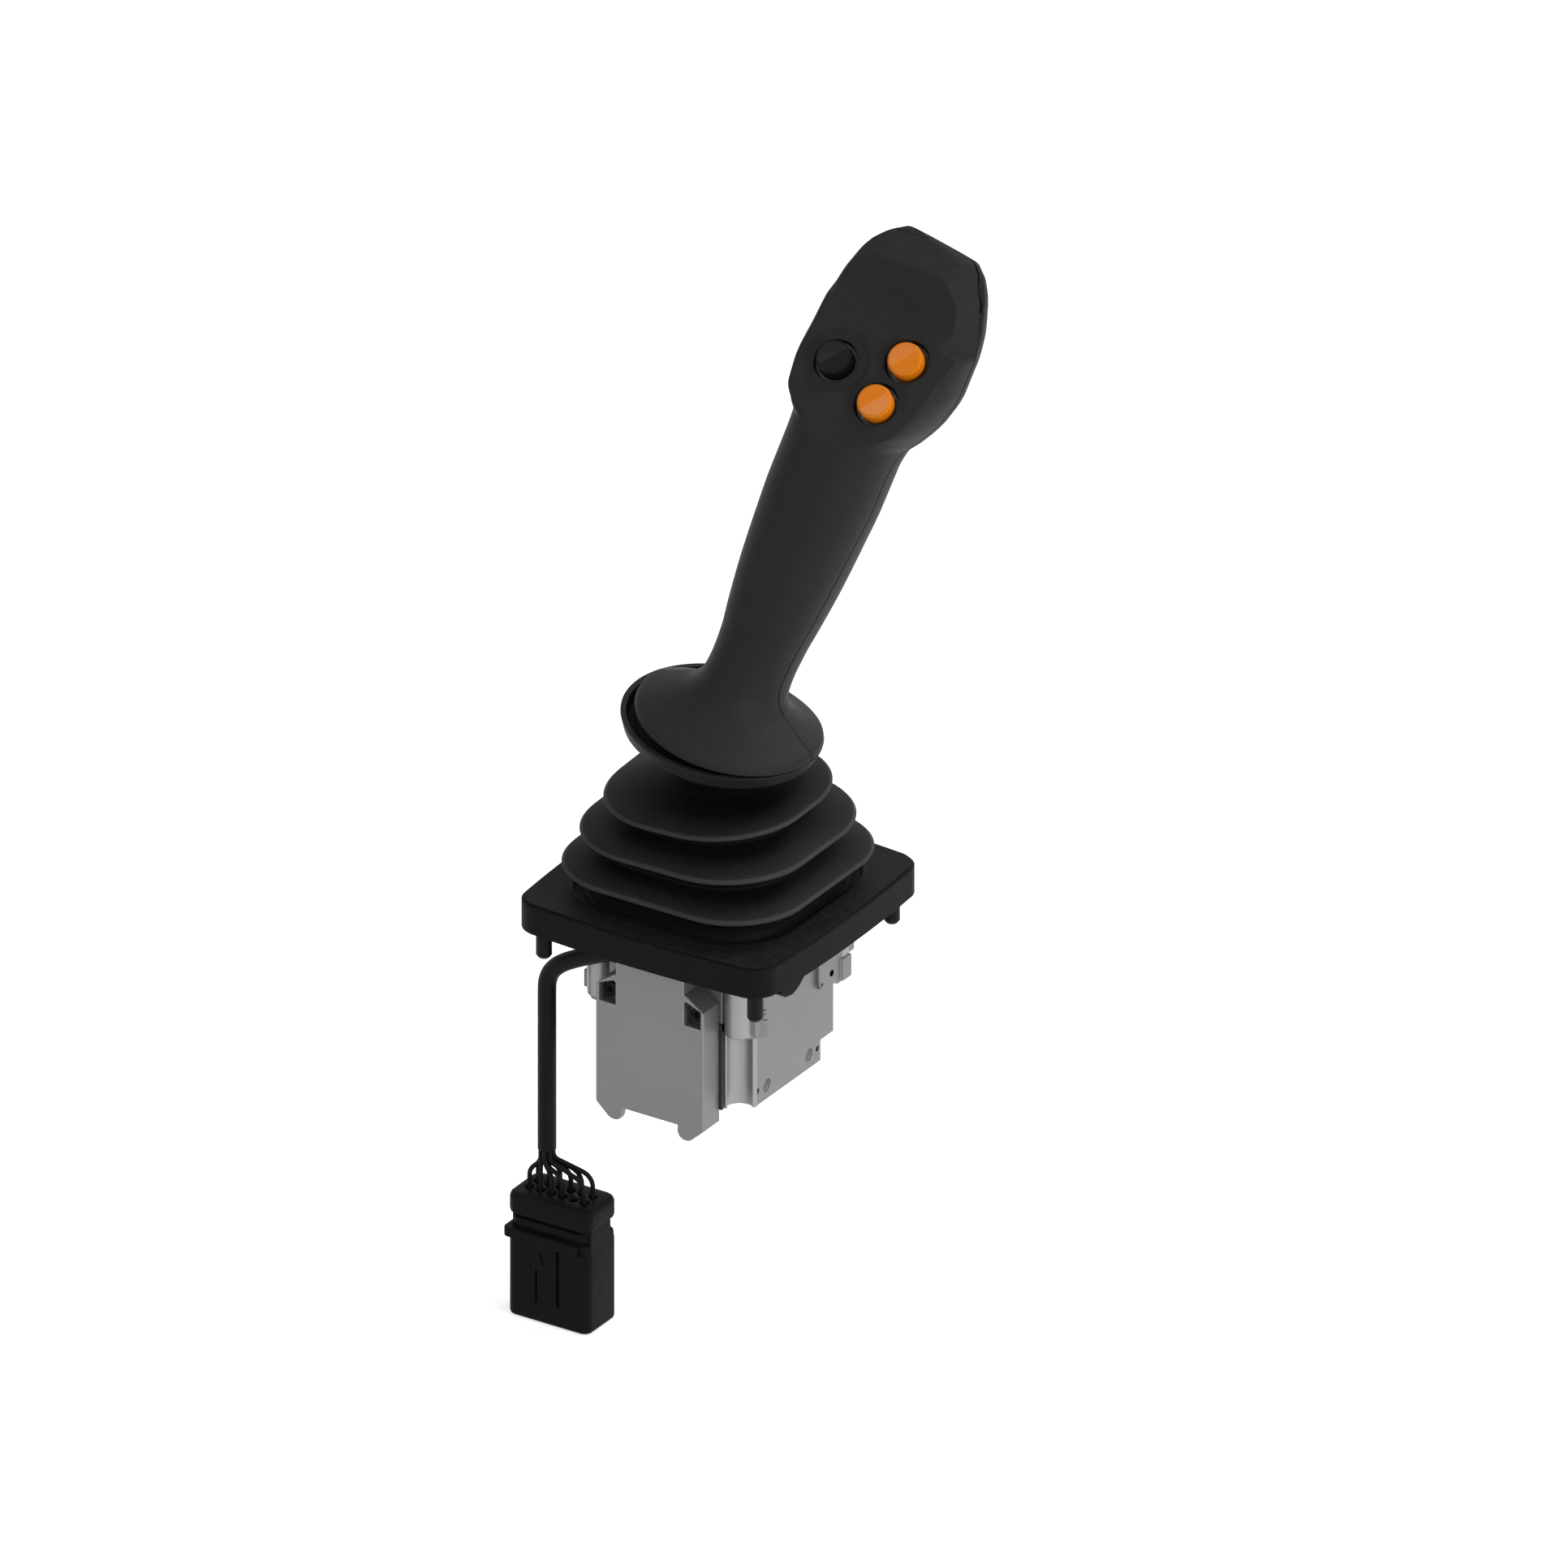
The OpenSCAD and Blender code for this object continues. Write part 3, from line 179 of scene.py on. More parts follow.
# Smooth curve through given points that doesn't swing past them
def pchip(xs, ys, x):
    xs = np.asarray(xs, float)
    ys = np.asarray(ys, float)
    h = np.diff(xs)
    d = np.diff(ys, axis=0) / (h if ys.ndim == 1 else h[:, None])
    m = np.zeros_like(ys)
    m[0], m[-1] = d[0], d[-1]
    for i in range(1, len(xs) - 1):
        a, b = d[i - 1], d[i]
        w1, w2 = 2 * h[i] + h[i - 1], h[i] + 2 * h[i - 1]
        with np.errstate(divide="ignore", invalid="ignore"):
            slope = (w1 + w2) / (w1 / a + w2 / b)
        m[i] = np.where(a * b > 0, slope, 0.0)
    x = np.clip(np.asarray(x, float), xs[0], xs[-1])
    k = np.clip(np.searchsorted(xs, x, side="right") - 1, 0, len(xs) - 2)
    t = (x - xs[k]) / h[k]
    hk = h[k]
    if ys.ndim == 2:
        t = t[..., None]
        hk = hk[..., None]
    return ((2 * t**3 - 3 * t**2 + 1) * ys[k] + (t**3 - 2 * t**2 + t) * hk * m[k]
            + (3 * t**2 - 2 * t**3) * ys[k + 1] + (t**3 - t**2) * hk * m[k + 1])


def smooth_line(points, step):
    points = [Vector(p) for p in points]
    out = []
    for i in range(len(points) - 1):
        p0 = points[max(i - 1, 0)]
        p1, p2 = points[i], points[i + 1]
        p3 = points[min(i + 2, len(points) - 1)]
        count = max(1, int((p2 - p1).length / step))
        for j in range(count):
            t = j / count
            out.append(0.5 * ((2 * p1) + (p2 - p0) * t + (2 * p0 - 5 * p1 + 4 * p2 - p3) * t * t
                              + (3 * p1 - p0 - 3 * p2 + p3) * t**3))
    out.append(points[-1])
    return out


def swept(points, radius, n):
    rings = []
    side = Vector((0, 1, 0))
    for i, p in enumerate(points):
        t = (points[min(i + 1, len(points) - 1)] - points[max(i - 1, 0)]).normalized()
        side = (side - side.dot(t) * t).normalized()
        up = t.cross(side)
        rings.append([p + radius * (math.cos(2 * math.pi * k / n) * side
                                    + math.sin(2 * math.pi * k / n) * up) for k in range(n)])
    return rings


def turned(profile, n, place):
    angles = [2 * math.pi * k / n for k in range(n)]
    return rings_mesh([[place @ Vector((r * math.cos(a), r * math.sin(a), z)) for a in angles]
                       for r, z in profile])


def join_parts(parts):
    verts, faces = [], []
    for v, f in parts:
        faces += [tuple(x + len(verts) for x in face) for face in f]
        verts += list(v)
    return verts, faces


# Materials: groups for the finishes, each built once
def srgb(r, g, b):
    out = []
    for c in (r, g, b):
        c = c / 255
        out.append(c / 12.92 if c <= 0.04045 else ((c + 0.055) / 1.055) ** 2.4)
    return (*out, 1.0)


def feed(tree, sockets, values):
    for socket, value in zip(sockets, values):
        if isinstance(value, (int, float, tuple)):
            socket.default_value = value
        else:
            tree.links.new(value, socket)


def math_node(tree, op, a, b, clamp=False):
    node = tree.nodes.new("ShaderNodeMath")
    node.operation = op
    node.use_clamp = clamp
    feed(tree, node.inputs, (a, b))
    return node.outputs[0]


def mixed(tree, fac, a, b, kind="MIX"):
    node = tree.nodes.new("ShaderNodeMix")
    node.data_type = "RGBA"
    node.blend_type = kind
    feed(tree, (node.inputs[0], node.inputs[6], node.inputs[7]), (fac, a, b))
    return node.outputs[2]


# A finish: slow changes of tone, fine grain, lighter edges that are partly wear and partly a
# painted edge highlight, and dust on faces that look up
DUST_COLOUR = (0.36, 0.34, 0.31, 1)


def finish_group(name, fine, coarse, stretch=(1, 1, 1), edge=0.0005, depth=0.0001, cells=False):
    tree = bpy.data.node_groups.new(name, "ShaderNodeTree")
    face = tree.interface
    for label, kind, value in (("Base", "NodeSocketColor", (0.5, 0.5, 0.5, 1)),
                               ("Edge", "NodeSocketColor", (0.5, 0.5, 0.5, 1)),
                               ("Vary", "NodeSocketFloat", 0.1), ("Rough", "NodeSocketFloat", 0.5),
                               ("Bump", "NodeSocketFloat", 0.3), ("Wear and edge highlight", "NodeSocketFloat", 0.3),
                               ("Dust", "NodeSocketFloat", 0.0)):
        socket = face.new_socket(label, in_out="INPUT", socket_type=kind)
        socket.default_value = value
    for label, kind in (("Color", "NodeSocketColor"), ("Roughness", "NodeSocketFloat"),
                        ("Normal", "NodeSocketVector")):
        face.new_socket(label, in_out="OUTPUT", socket_type=kind)
    add, link = tree.nodes.new, tree.links.new
    enter, leave = add("NodeGroupInput"), add("NodeGroupOutput")
    coords, mapping = add("ShaderNodeTexCoord"), add("ShaderNodeMapping")
    mapping.inputs["Scale"].default_value = stretch
    link(coords.outputs["Object"], mapping.inputs["Vector"])

    def noise(scale, detail, rough=0.55):
        node = add("ShaderNodeTexNoise")
        node.inputs["Scale"].default_value = scale
        node.inputs["Detail"].default_value = detail
        node.inputs["Roughness"].default_value = rough
        link(mapping.outputs["Vector"], node.inputs["Vector"])
        return node.outputs["Fac"]

    def maths(op, a, b, clamp=False):
        return math_node(tree, op, a, b, clamp)

    broad, grain = noise(coarse, 4), noise(fine, 3, 0.6)
    middle = noise(coarse * 7, 5, 0.65)
    bevel = add("ShaderNodeBevel")
    bevel.samples = 4
    bevel.inputs["Radius"].default_value = edge
    true = add("ShaderNodeNewGeometry")
    dot = add("ShaderNodeVectorMath")
    dot.operation = "DOT_PRODUCT"
    link(bevel.outputs["Normal"], dot.inputs[0])
    link(true.outputs["Normal"], dot.inputs[1])
    # Lighter colour along edges: partly wear, partly a painted edge highlight
    rim = maths("MULTIPLY", maths("SUBTRACT", 1.0, dot.outputs["Value"], True), 9.0, True)
    rim = maths("MULTIPLY", rim, maths("ADD", middle, 0.35))
    rim = maths("MULTIPLY", rim, enter.outputs["Wear and edge highlight"], True)
    shade = maths("MULTIPLY", maths("SUBTRACT", maths("ADD", maths("MULTIPLY", broad, 0.6),
                                                      maths("MULTIPLY", middle, 0.4)), 0.5),
                  enter.outputs["Vary"])
    light = maths("ADD", maths("MULTIPLY", shade, 2.0), 1.0)
    tone = add("ShaderNodeCombineColor")
    for socket in tone.inputs[:3]:
        link(light, socket)
    colour = mixed(tree, 1.0, enter.outputs["Base"], tone.outputs[0], "MULTIPLY")
    parts = add("ShaderNodeSeparateXYZ")
    link(true.outputs["Normal"], parts.inputs[0])
    up = maths("MULTIPLY", maths("MAXIMUM", parts.outputs["Z"], 0.0), middle)
    dust = maths("MULTIPLY", maths("MULTIPLY", up, up), enter.outputs["Dust"], True)
    colour = mixed(tree, dust, colour, DUST_COLOUR)
    colour = mixed(tree, rim, colour, enter.outputs["Edge"])
    link(colour, leave.inputs["Color"])
    wob = maths("MULTIPLY", maths("SUBTRACT", middle, 0.5), 0.22)
    rough = maths("ADD", maths("ADD", enter.outputs["Rough"], wob), maths("MULTIPLY", dust, 0.3))
    link(maths("MULTIPLY", rough, 1.0, True), leave.inputs["Roughness"])
    bump = add("ShaderNodeBump")
    bump.inputs["Distance"].default_value = depth
    height = grain
    if cells:
        cell = add("ShaderNodeTexVoronoi")
        cell.inputs["Scale"].default_value = fine * 0.7
        link(mapping.outputs["Vector"], cell.inputs["Vector"])
        height = maths("ADD", grain, maths("MULTIPLY", cell.outputs["Distance"], 0.6))
    link(height, bump.inputs["Height"])
    link(enter.outputs["Bump"], bump.inputs["Strength"])
    link(bevel.outputs["Normal"], bump.inputs["Normal"])
    link(bump.outputs["Normal"], leave.inputs["Normal"])
    return tree


MOULDED = finish_group("finish_moulded", 2600, 45, edge=0.0004, cells=True)
RUBBER = finish_group("finish_rubber", 1500, 60, edge=0.0003, depth=0.00012)
CAST = finish_group("finish_cast", 1100, 38, edge=0.0008, depth=0.00016, cells=True)
TURNED = finish_group("finish_turned", 900, 50, stretch=(1, 1, 14), edge=0.00025, depth=0.00005)
JACKET = finish_group("finish_jacket", 1300, 90, stretch=(1, 1, 0.3), edge=0.0002, depth=0.00009)
LAMINATE = finish_group("finish_laminate", 1800, 120, edge=0.0001, depth=0.00004)

# Painted shade in the boot's folds: their colour is this share of its base colour
PAINTED_FOLD_SHADE = 0.12


def material(name, group, base, edge=None, metallic=0.0, rough=0.5, vary=0.15, bump=0.3, wear_and_edge_highlight=0.3,
             dust=0.0, specular=0.5, coat=0.0, coat_rough=0.2, painted_shade_and_highlight=False):
    base = srgb(*base)
    edge = srgb(*edge) if edge else tuple(min(1, c * 2.2 + 0.02) for c in base[:3]) + (1,)
    mat = bpy.data.materials.new(name)
    mat.use_nodes = True
    tree = mat.node_tree
    shader = tree.nodes["Principled BSDF"]
    node = tree.nodes.new("ShaderNodeGroup")
    node.node_tree = group
    for label, value in (("Base", base), ("Edge", edge), ("Vary", vary), ("Rough", rough),
                         ("Bump", bump), ("Wear and edge highlight", wear_and_edge_highlight), ("Dust", dust)):
        node.inputs[label].default_value = value
    for label, value in (("Metallic", metallic), ("Specular IOR Level", specular),
                         ("Coat Weight", coat), ("Coat Roughness", coat_rough)):
        shader.inputs[label].default_value = value
    colour = node.outputs["Color"]
    # Painted shade in the boot's folds (red mark) and a painted highlight on its lips (green mark)
    if painted_shade_and_highlight:
        painted_marks = tree.nodes.new("ShaderNodeAttribute")
        painted_marks.attribute_name = "painted_shade_and_highlight"
        split = tree.nodes.new("ShaderNodeSeparateColor")
        tree.links.new(painted_marks.outputs["Color"], split.inputs[0])
        fold = tuple(c * PAINTED_FOLD_SHADE for c in base[:3]) + (1,)
        for channel, other in (("Red", fold), ("Green", edge)):
            colour = mixed(tree, split.outputs[channel], colour, other)
    tree.links.new(colour, shader.inputs["Base Color"])
    for label in ("Roughness", "Normal"):
        tree.links.new(node.outputs[label], shader.inputs[label])
    mat.diffuse_color = base
    return mat


# Colours are sRGB values from 0 to 255
LOOKS = {
    "grip_plastic": dict(group=MOULDED, base=(37, 37, 38), rough=0.52, specular=0.08, vary=0.12,
                         bump=0.35, wear_and_edge_highlight=0.25, dust=0.05),
    # The boot's edge colour is also the painted highlight on its lips
    "boot_rubber": dict(group=RUBBER, base=(29, 29, 30), edge=(60, 60, 61), rough=0.55,
                        specular=0.05, vary=0.2, bump=0.4, wear_and_edge_highlight=0.75, dust=0.04, painted_shade_and_highlight=True),
    "black_shell": dict(group=MOULDED, base=(20, 20, 21), edge=(40, 40, 41), rough=0.55,
                        specular=0.05, vary=0.15, bump=0.3, wear_and_edge_highlight=0.35, dust=0.06),
    "black_steel": dict(group=TURNED, base=(22, 22, 23), edge=(60, 60, 62), metallic=0.2,
                        rough=0.48, specular=0.1, vary=0.2, bump=0.3, wear_and_edge_highlight=0.5),
    "die_cast": dict(group=CAST, base=(123, 122.5, 121), edge=(180, 179, 176), metallic=0.5,
                     rough=0.42, vary=0.09, bump=0.3, wear_and_edge_highlight=0.5, dust=0.05),
    "machined": dict(group=TURNED, base=(150, 150, 148), edge=(196, 196, 194), metallic=0.6,
                     rough=0.38, vary=0.08, bump=0.25, wear_and_edge_highlight=0.4),
    "bright_steel": dict(group=TURNED, base=(190, 190, 192), metallic=1.0, rough=0.3, vary=0.1,
                         bump=0.3, wear_and_edge_highlight=0.3),
    "board": dict(group=LAMINATE, base=(22, 74, 44), rough=0.4, vary=0.25, bump=0.4, wear_and_edge_highlight=0.3,
                  coat=0.3),
    "dark_parts": dict(group=MOULDED, base=(38, 38, 40), rough=0.5, vary=0.15, bump=0.3),
    "link_copper": dict(group=LAMINATE, base=(176, 112, 60), metallic=0.4, rough=0.45, vary=0.2,
                        bump=0.3),
    "bronze": dict(group=TURNED, base=(168, 122, 66), metallic=1.0, rough=0.38, vary=0.2, bump=0.3,
                   wear_and_edge_highlight=0.3),
    "seal_rubber": dict(group=RUBBER, base=(26, 26, 27), rough=0.6, vary=0.2, bump=0.5),
    "lead_jacket": dict(group=JACKET, base=(20, 20, 21), rough=0.5, specular=0.08, vary=0.15,
                        bump=0.3),
    "cable_jacket": dict(group=JACKET, base=(18, 18, 19), rough=0.5, specular=0.08, vary=0.2,
                         bump=0.5, wear_and_edge_highlight=0.2, dust=0.04),
    "black_plastic": dict(group=MOULDED, base=(17, 17, 18), edge=(36, 36, 37), rough=0.5,
                          specular=0.05, vary=0.12, bump=0.25, wear_and_edge_highlight=0.35),
    "orange_plastic": dict(group=MOULDED, base=(214, 96, 24), rough=0.42, vary=0.1, bump=0.2,
                           wear_and_edge_highlight=0.2),
    "tinned_brass": dict(group=TURNED, base=(196, 192, 176), metallic=1.0, rough=0.3, vary=0.1,
                         bump=0.2),
    "steel": dict(group=TURNED, base=(150, 150, 152), metallic=1.0, rough=0.36, vary=0.15,
                  bump=0.4, wear_and_edge_highlight=0.3),
    "spring_steel": dict(group=TURNED, base=(140, 138, 132), metallic=1.0, rough=0.32, vary=0.15,
                         bump=0.2),
    "magnet": dict(group=TURNED, base=(120, 122, 126), metallic=1.0, rough=0.25, vary=0.1,
                   bump=0.2),
    "cup_plastic": dict(group=MOULDED, base=(22, 22, 23), rough=0.5, specular=0.1, vary=0.12,
                        bump=0.3, wear_and_edge_highlight=0.3, dust=0.05),
    "alloy": dict(group=CAST, base=(170, 170, 168), metallic=0.9, rough=0.42, vary=0.1, bump=0.3,
                  wear_and_edge_highlight=0.3),
    "black_cap": dict(group=MOULDED, base=(17, 17, 18), rough=0.42, specular=0.04, coat=0.09,
                      coat_rough=0.08, vary=0.1, bump=0.2, wear_and_edge_highlight=0.3),
    "orange_cap": dict(group=MOULDED, base=(214, 118, 12), edge=(226, 150, 60), specular=0.05,
                       coat=0.2, coat_rough=0.08, rough=0.42, vary=0.08, bump=0.18, wear_and_edge_highlight=0.25),
}
M = {name: material(name, **look) for name, look in LOOKS.items()}

# Every CAD node takes the detailed material of its slot
slot_of = {}
for group in frame["record"].values():
    for entry in group if isinstance(group, list) else ():
        if isinstance(entry, dict) and "material_slot" in entry and "node" in entry:
            slot_of[entry["node"]] = entry["material_slot"]
for name, obj in nodes.items():
    mat = M.get(slot_of.get(name), M["dark_parts"])
    if obj.material_slots:
        for s in obj.material_slots:
            s.material = mat
    else:
        obj.data.materials.append(mat)
for s in nodes["cover_screws"].material_slots:
    s.material = M["black_steel"]

# Cable: one jacketed tube along the route, with its end drawn in about the leads
ROUTE = [(-10.6, -35, -5.5), (-14, -35, -5.5), (-17.5, -35, -5.6), (-20.5, -35, -6.5),
         (-24, -35, -8.2), (-28, -35, -10.1), (-31.5, -35, -11.9), (-35, -35, -13.9),
         (-38.2, -35, -16.3), (-40.6, -35, -19.2), (-41.9, -35, -22.8), (-42.1, -35, -27),
         (-42.1, -35, -36), (-42.1, -35, -46), (-42.1, -35, -56), (-42.1, -35, -66),
         (-42.1, -35, -76), (-42.1, -35, -83)]
CABLE_R = 3.0
line = smooth_line(ROUTE, 0.9)
rings = swept(line, CABLE_R, 40)
end_ring, end = rings.pop(), line[-1]
down = (line[-1] - line[-2]).normalized()
for draw, drop_by in ((1.0, -0.25), (0.97, -0.05), (0.9, 0.0), (0.8, 0.0), (0.78, -0.6)):
    rings.append([end + (p - end) * draw + down * drop_by for p in end_ring])
cable = new_object("cable_jacket", *rings_mesh(rings), "base", "cable_jacket", 50)
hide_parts("cable")

# Single leads from the jacket's end to the connector's holes
PLUG_X, BODY_X, CABLE_Y = -36.7, -36.35, -35.0
CONTACTS, CONTACT_PITCH, ROW_GAP = 12, 4.15, 5.0
LEAD_R, LEAD_TOP, LEAD_END, LEAD_EASE = 0.78, -82.3, -103.9, 4.2
# The lead at each contact, and one contact that is empty
LEAD_OF = [7, 8, 2, 9, None, 10, 6, 5, 1, 0, 4, 3]


def contact(i):
    return (PLUG_X + (i % 6 - 2.5) * CONTACT_PITCH, CABLE_Y + (i // 6 - 0.5) * ROW_GAP)


# Three leads leave the jacket at its middle, and eight in a ring about them
def lead_start(k):
    count, r, at = (3, 0.85, k) if k < 3 else (8, 2.15, k - 2.75)
    a = 2 * math.pi * at / count
    return (ROUTE[-1][0] + r * math.cos(a), CABLE_Y + r * math.sin(a))


def lead_path(i):
    a, b = lead_start(LEAD_OF[i]), contact(i)
    far = abs(b[0] - ROUTE[-1][0])
    bend = -85.6 - 0.17 * (15.8 - far) - (0.5 if i < 6 else 0)
    corners = [Vector(c) for c in ((*a, LEAD_TOP), (*a, bend), (*b, bend - 1.7 - 0.15 * far),
                                   (*b, LEAD_END))]
    path = [corners[0]]
    for p0, p1, p2 in zip(corners, corners[1:], corners[2:]):
        into, away = p0 - p1, p2 - p1
        ease = min(LEAD_EASE, away.length * 0.49, into.length * 0.49)
        into, away = p1 + into.normalized() * ease, p1 + away.normalized() * ease
        for step in range(9):
            s = step / 8
            path.append(into * (1 - s) ** 2 + p1 * (2 * s * (1 - s)) + away * s * s)
    return path + [corners[-1]]


tubes = [rings_mesh(swept(lead_path(i), LEAD_R, 16)) for i in range(CONTACTS)
         if LEAD_OF[i] is not None]
leads = new_object("single_leads", *join_parts(tubes), "base", "lead_jacket", 60)
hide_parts("wire_leads")


# Grip, in its own frame: x to the right, y to the back, z up its axis. Its sections go from the
# skirt's rim to the top of the hood. Each has its level, its middle, its tilt, its half-width,
# its depth to the front and to the back, and how square it is.
SECTIONS = np.array([
    (-0.94, -0.84, 19.5, 31, 31, 31, 2), (0.95, -1.5, 19.5, 30.3, 30.3, 30.3, 2),
    (3.2, -1.5, 18, 26.4, 26.6, 26.4, 2), (5.8, -1.5, 15, 21.6, 22.4, 21.2, 2),
    (8.8, -1.2, 10, 16.6, 18.8, 17.4, 2), (13, -0.6, 5, 13.8, 17, 15.8, 2),
    (20, -0.2, 1, 13.2, 16.6, 15.6, 2.05), (28, 0, 0, 13.5, 17, 16.5, 2.1),
    (36, 0, 0, 14.5, 18, 17.3, 2.15), (53, 0, 0, 16.3, 19.5, 19.1, 2.2),
    (68, 0, 0, 17.3, 20.5, 20.3, 2.2), (82, 0, 0, 18, 21, 21.3, 2.2),
    (96, 0, 0, 18.1, 21.2, 21.2, 2.2), (103, 1, 0, 18.7, 21.2, 21, 2.3),
    (107, 3, 0, 20.6, 24, 20, 2.8), (112, 5.6, 0, 23, 32, 18.6, 2.7),
    (117.5, 7.5, 0, 25, 32, 17, 2.6), (128, 9, 0, 26.8, 24, 15.4, 2.6),
    (138, 9, 0, 26.8, 18, 14.4, 2.7), (143, 9, 0, 26.3, 11, 14, 2.8),
    (148, 9, 0, 25.5, 9.6, 13.4, 2.8), (152.5, 9, 0, 24.2, 8.8, 12.6, 2.8),
    (157, 9.2, 0, 22.8, 8, 11, 2.8), (160, 9.6, 0, 21.4, 7.6, 9.8, 2.8),
    (164, 11.6, 0, 18.2, 6, 6.6, 2.9), (167.3, 13.4, 0, 13.8, 1.6, 2.6, 3)])
# The line between the half-shells: place to the back, and level
PARTING = [(0.2, -8), (0.1, 0), (-0.4, 4), (-0.9, 8), (-2.2, 12), (-3.6, 17), (-3.2, 24),
           (-2.8, 35), (-2.6, 53), (-1.6, 70), (-0.5, 84), (-0.3, 98), (4, 106), (8, 115),
           (9.5, 128), (9.5, 140), (9.5, 158), (12, 166), (12.6, 172)]
FACE_TILT, FACE_LENGTH = math.radians(28.3), 48.4
FACE_LIP = (-19.2, 103.1)
FACE_STEP = (FACE_LIP[0] + FACE_LENGTH * math.sin(FACE_TILT),
             FACE_LIP[1] + FACE_LENGTH * math.cos(FACE_TILT))
FACE_MID = (-8.3, 123.3)
BUTTONS = [(-10.4, 0.0), (10.5, 10.6), (9.5, -6.1)]
RING_POINTS, SHELL_WALL, INNER_LOW, INNER_HIGH = 1440, 2.3, 1.2, 161.5
# Levels where the face and the hood begin, the hood's slope, the skirt's tilt in degrees
FACE_FROM, HOOD_FROM, HOOD_SLOPE, SKIRT_TILT = 92, 140, 0.88, 19.5
# Points beside the parting line, and how far each is rolled in
SEAM_ROLL = ((0, 0.8), (1, 0.5), (2, 0.02), (-1, 0.8), (-2, 0.5), (-3, 0.02))
grip_matrix = (Matrix.Translation((4.64, 0, 69.6)) @ Matrix.Rotation(math.radians(13.4), 4, "Y")
               @ Matrix.Translation((0, 1.1, 0)) @ Matrix.Rotation(math.radians(-19.5), 4, "X"))
face_matrix = (grip_matrix @ Matrix.Translation((0, FACE_MID[0], FACE_MID[1]))
               @ Matrix.Rotation(math.radians(90) - FACE_TILT, 4, "X"))


def smoothstep(a, b, x):
    t = np.clip((x - a) / (b - a), 0, 1)
    return t * t * (3 - 2 * t)


def soft_max(a, b, k):
    h = np.clip(0.5 + 0.5 * (a - b) / k, 0, 1)
    return b * (1 - h) + a * h + k * h * (1 - h)


def parting_at(z):
    return pchip([p[1] for p in PARTING], [p[0] for p in PARTING], z)


# Straight edges of the hood's front, as seen from the front
ARCH = [((-24.6, 145), (-22.5, 152.1)), ((-22.5, 152.1), (-16.1, 156.8)),
        ((-16.1, 156.8), (8.1, 160.1)), ((8.1, 160.1), (16, 154.5)), ((16, 154.5), (18.2, 147.5))]


# How far a point lies beyond the hood's edges, eased where two of them meet
def hood_bevel(x, z):
    far = None
    for (x0, z0), (x1, z1) in ARCH:
        n = math.hypot(x1 - x0, z1 - z0)
        d = ((x - x1) * -(z1 - z0) + (z - z1) * (x1 - x0)) / n
        far = d if far is None else soft_max(far, d, 1.0)
    return far


def step_wall(z, inset):
    return FACE_STEP[0] + inset + np.clip(z - FACE_STEP[1], 0, 20) * 0.6 / 15.5


def face_line(z, inset):
    slope = FACE_LIP[0] + (z - FACE_LIP[1]) * math.tan(FACE_TILT) + inset / math.cos(FACE_TILT)
    return -soft_max(-slope, -step_wall(z, inset), 1.1)


def grip_ring(row, inset):
    s, y0, tilt, w, front, back, p = row
    phi = np.linspace(0, 2 * np.pi, RING_POINTS, endpoint=False)
    c, sn = np.cos(phi), np.sin(phi)
    depth = np.where(sn < 0, front, back)
    w = max(w - inset, 0.6)
    depth = np.maximum(depth - inset, 0.5 if inset else 0.05)
    r = (np.abs(c / w) ** p + np.abs(sn / depth) ** p) ** (-1 / p)
    x, b = r * c, r * sn
    sa = np.abs(b / depth) ** (p / 2)
    ca = np.abs(x / w) ** (p / 2)
    tilt_r = math.radians(tilt)
    sink = tilt / SKIRT_TILT * (3.4 * sa**2 + np.where(x < 0, 6 * sa * ca, 0))
    y = y0 + b * math.cos(tilt_r)
    z = s + b * math.sin(tilt_r) - np.where(sn > 0, sink, 0)
    if s > FACE_FROM:
        y = soft_max(y, face_line(z, inset), 1.5 - 1.1 * float(smoothstep(143, 149, s)))
    if s > HOOD_FROM:
        edge = step_wall(z, inset) + HOOD_SLOPE * hood_bevel(x, z)
        y = np.where(b < 0.5 * back, soft_max(y, np.minimum(edge, y0 + 0.4), 0.5), y)
    return np.stack([x, y, z], axis=1)


# One half-shell's part of a ring, with its two ends rolled in to the parting line
def arc(ring, side, count, roll):
    n = len(ring)
    edge = parting_at(ring[:, 2])
    edge = np.maximum(edge, ring[:, 1].min() + min(0.3, 0.3 * np.ptp(ring[:, 1])))
    gap = ring[:, 1] - edge
    sign = gap > 0
    right = next(k for k in range(-n // 4, n // 4) if sign[k % n] != sign[(k + 1) % n])
    left = next(k for k in range(n // 4, 3 * n // 4) if sign[k % n] != sign[(k + 1) % n])

    def crossing(k):
        a, b = ring[k % n], ring[(k + 1) % n]
        t = gap[k % n] / (gap[k % n] - gap[(k + 1) % n])
        return a + (b - a) * t

    pr, pl = crossing(right), crossing(left)
    if side == "rear":
        inner = [ring[k % n] for k in range(right + 1, left + 1)]
        points = np.array([pr] + inner + [pl])
    else:
        inner = [ring[k % n] for k in range(left + 1, right + n + 1)]
        points = np.array([pl] + inner + [pr])
    lengths = np.concatenate([[0], np.cumsum(np.linalg.norm(np.diff(points, axis=0), axis=1))])
    total = lengths[-1]
    tiny = min(0.17, total * 0.04)
    wide = min(0.36, total * 0.1)
    where = np.concatenate([[0, tiny, wide], np.linspace(wide, total - wide, count - 4)[1:-1],
                            [total - wide, total - tiny, total]])
    out = np.stack([np.interp(where, lengths, points[:, j]) for j in range(3)], axis=1)
    tangent = np.gradient(out[:, :2], axis=0)
    norm = np.stack([tangent[:, 1], -tangent[:, 0]], axis=1)
    norm /= np.maximum(np.linalg.norm(norm, axis=1, keepdims=True), 1e-9)
    deep = min(1.0, total / 6) * roll
    for k, amount in SEAM_ROLL:
        out[k, :2] -= norm[k] * amount * deep
    return out


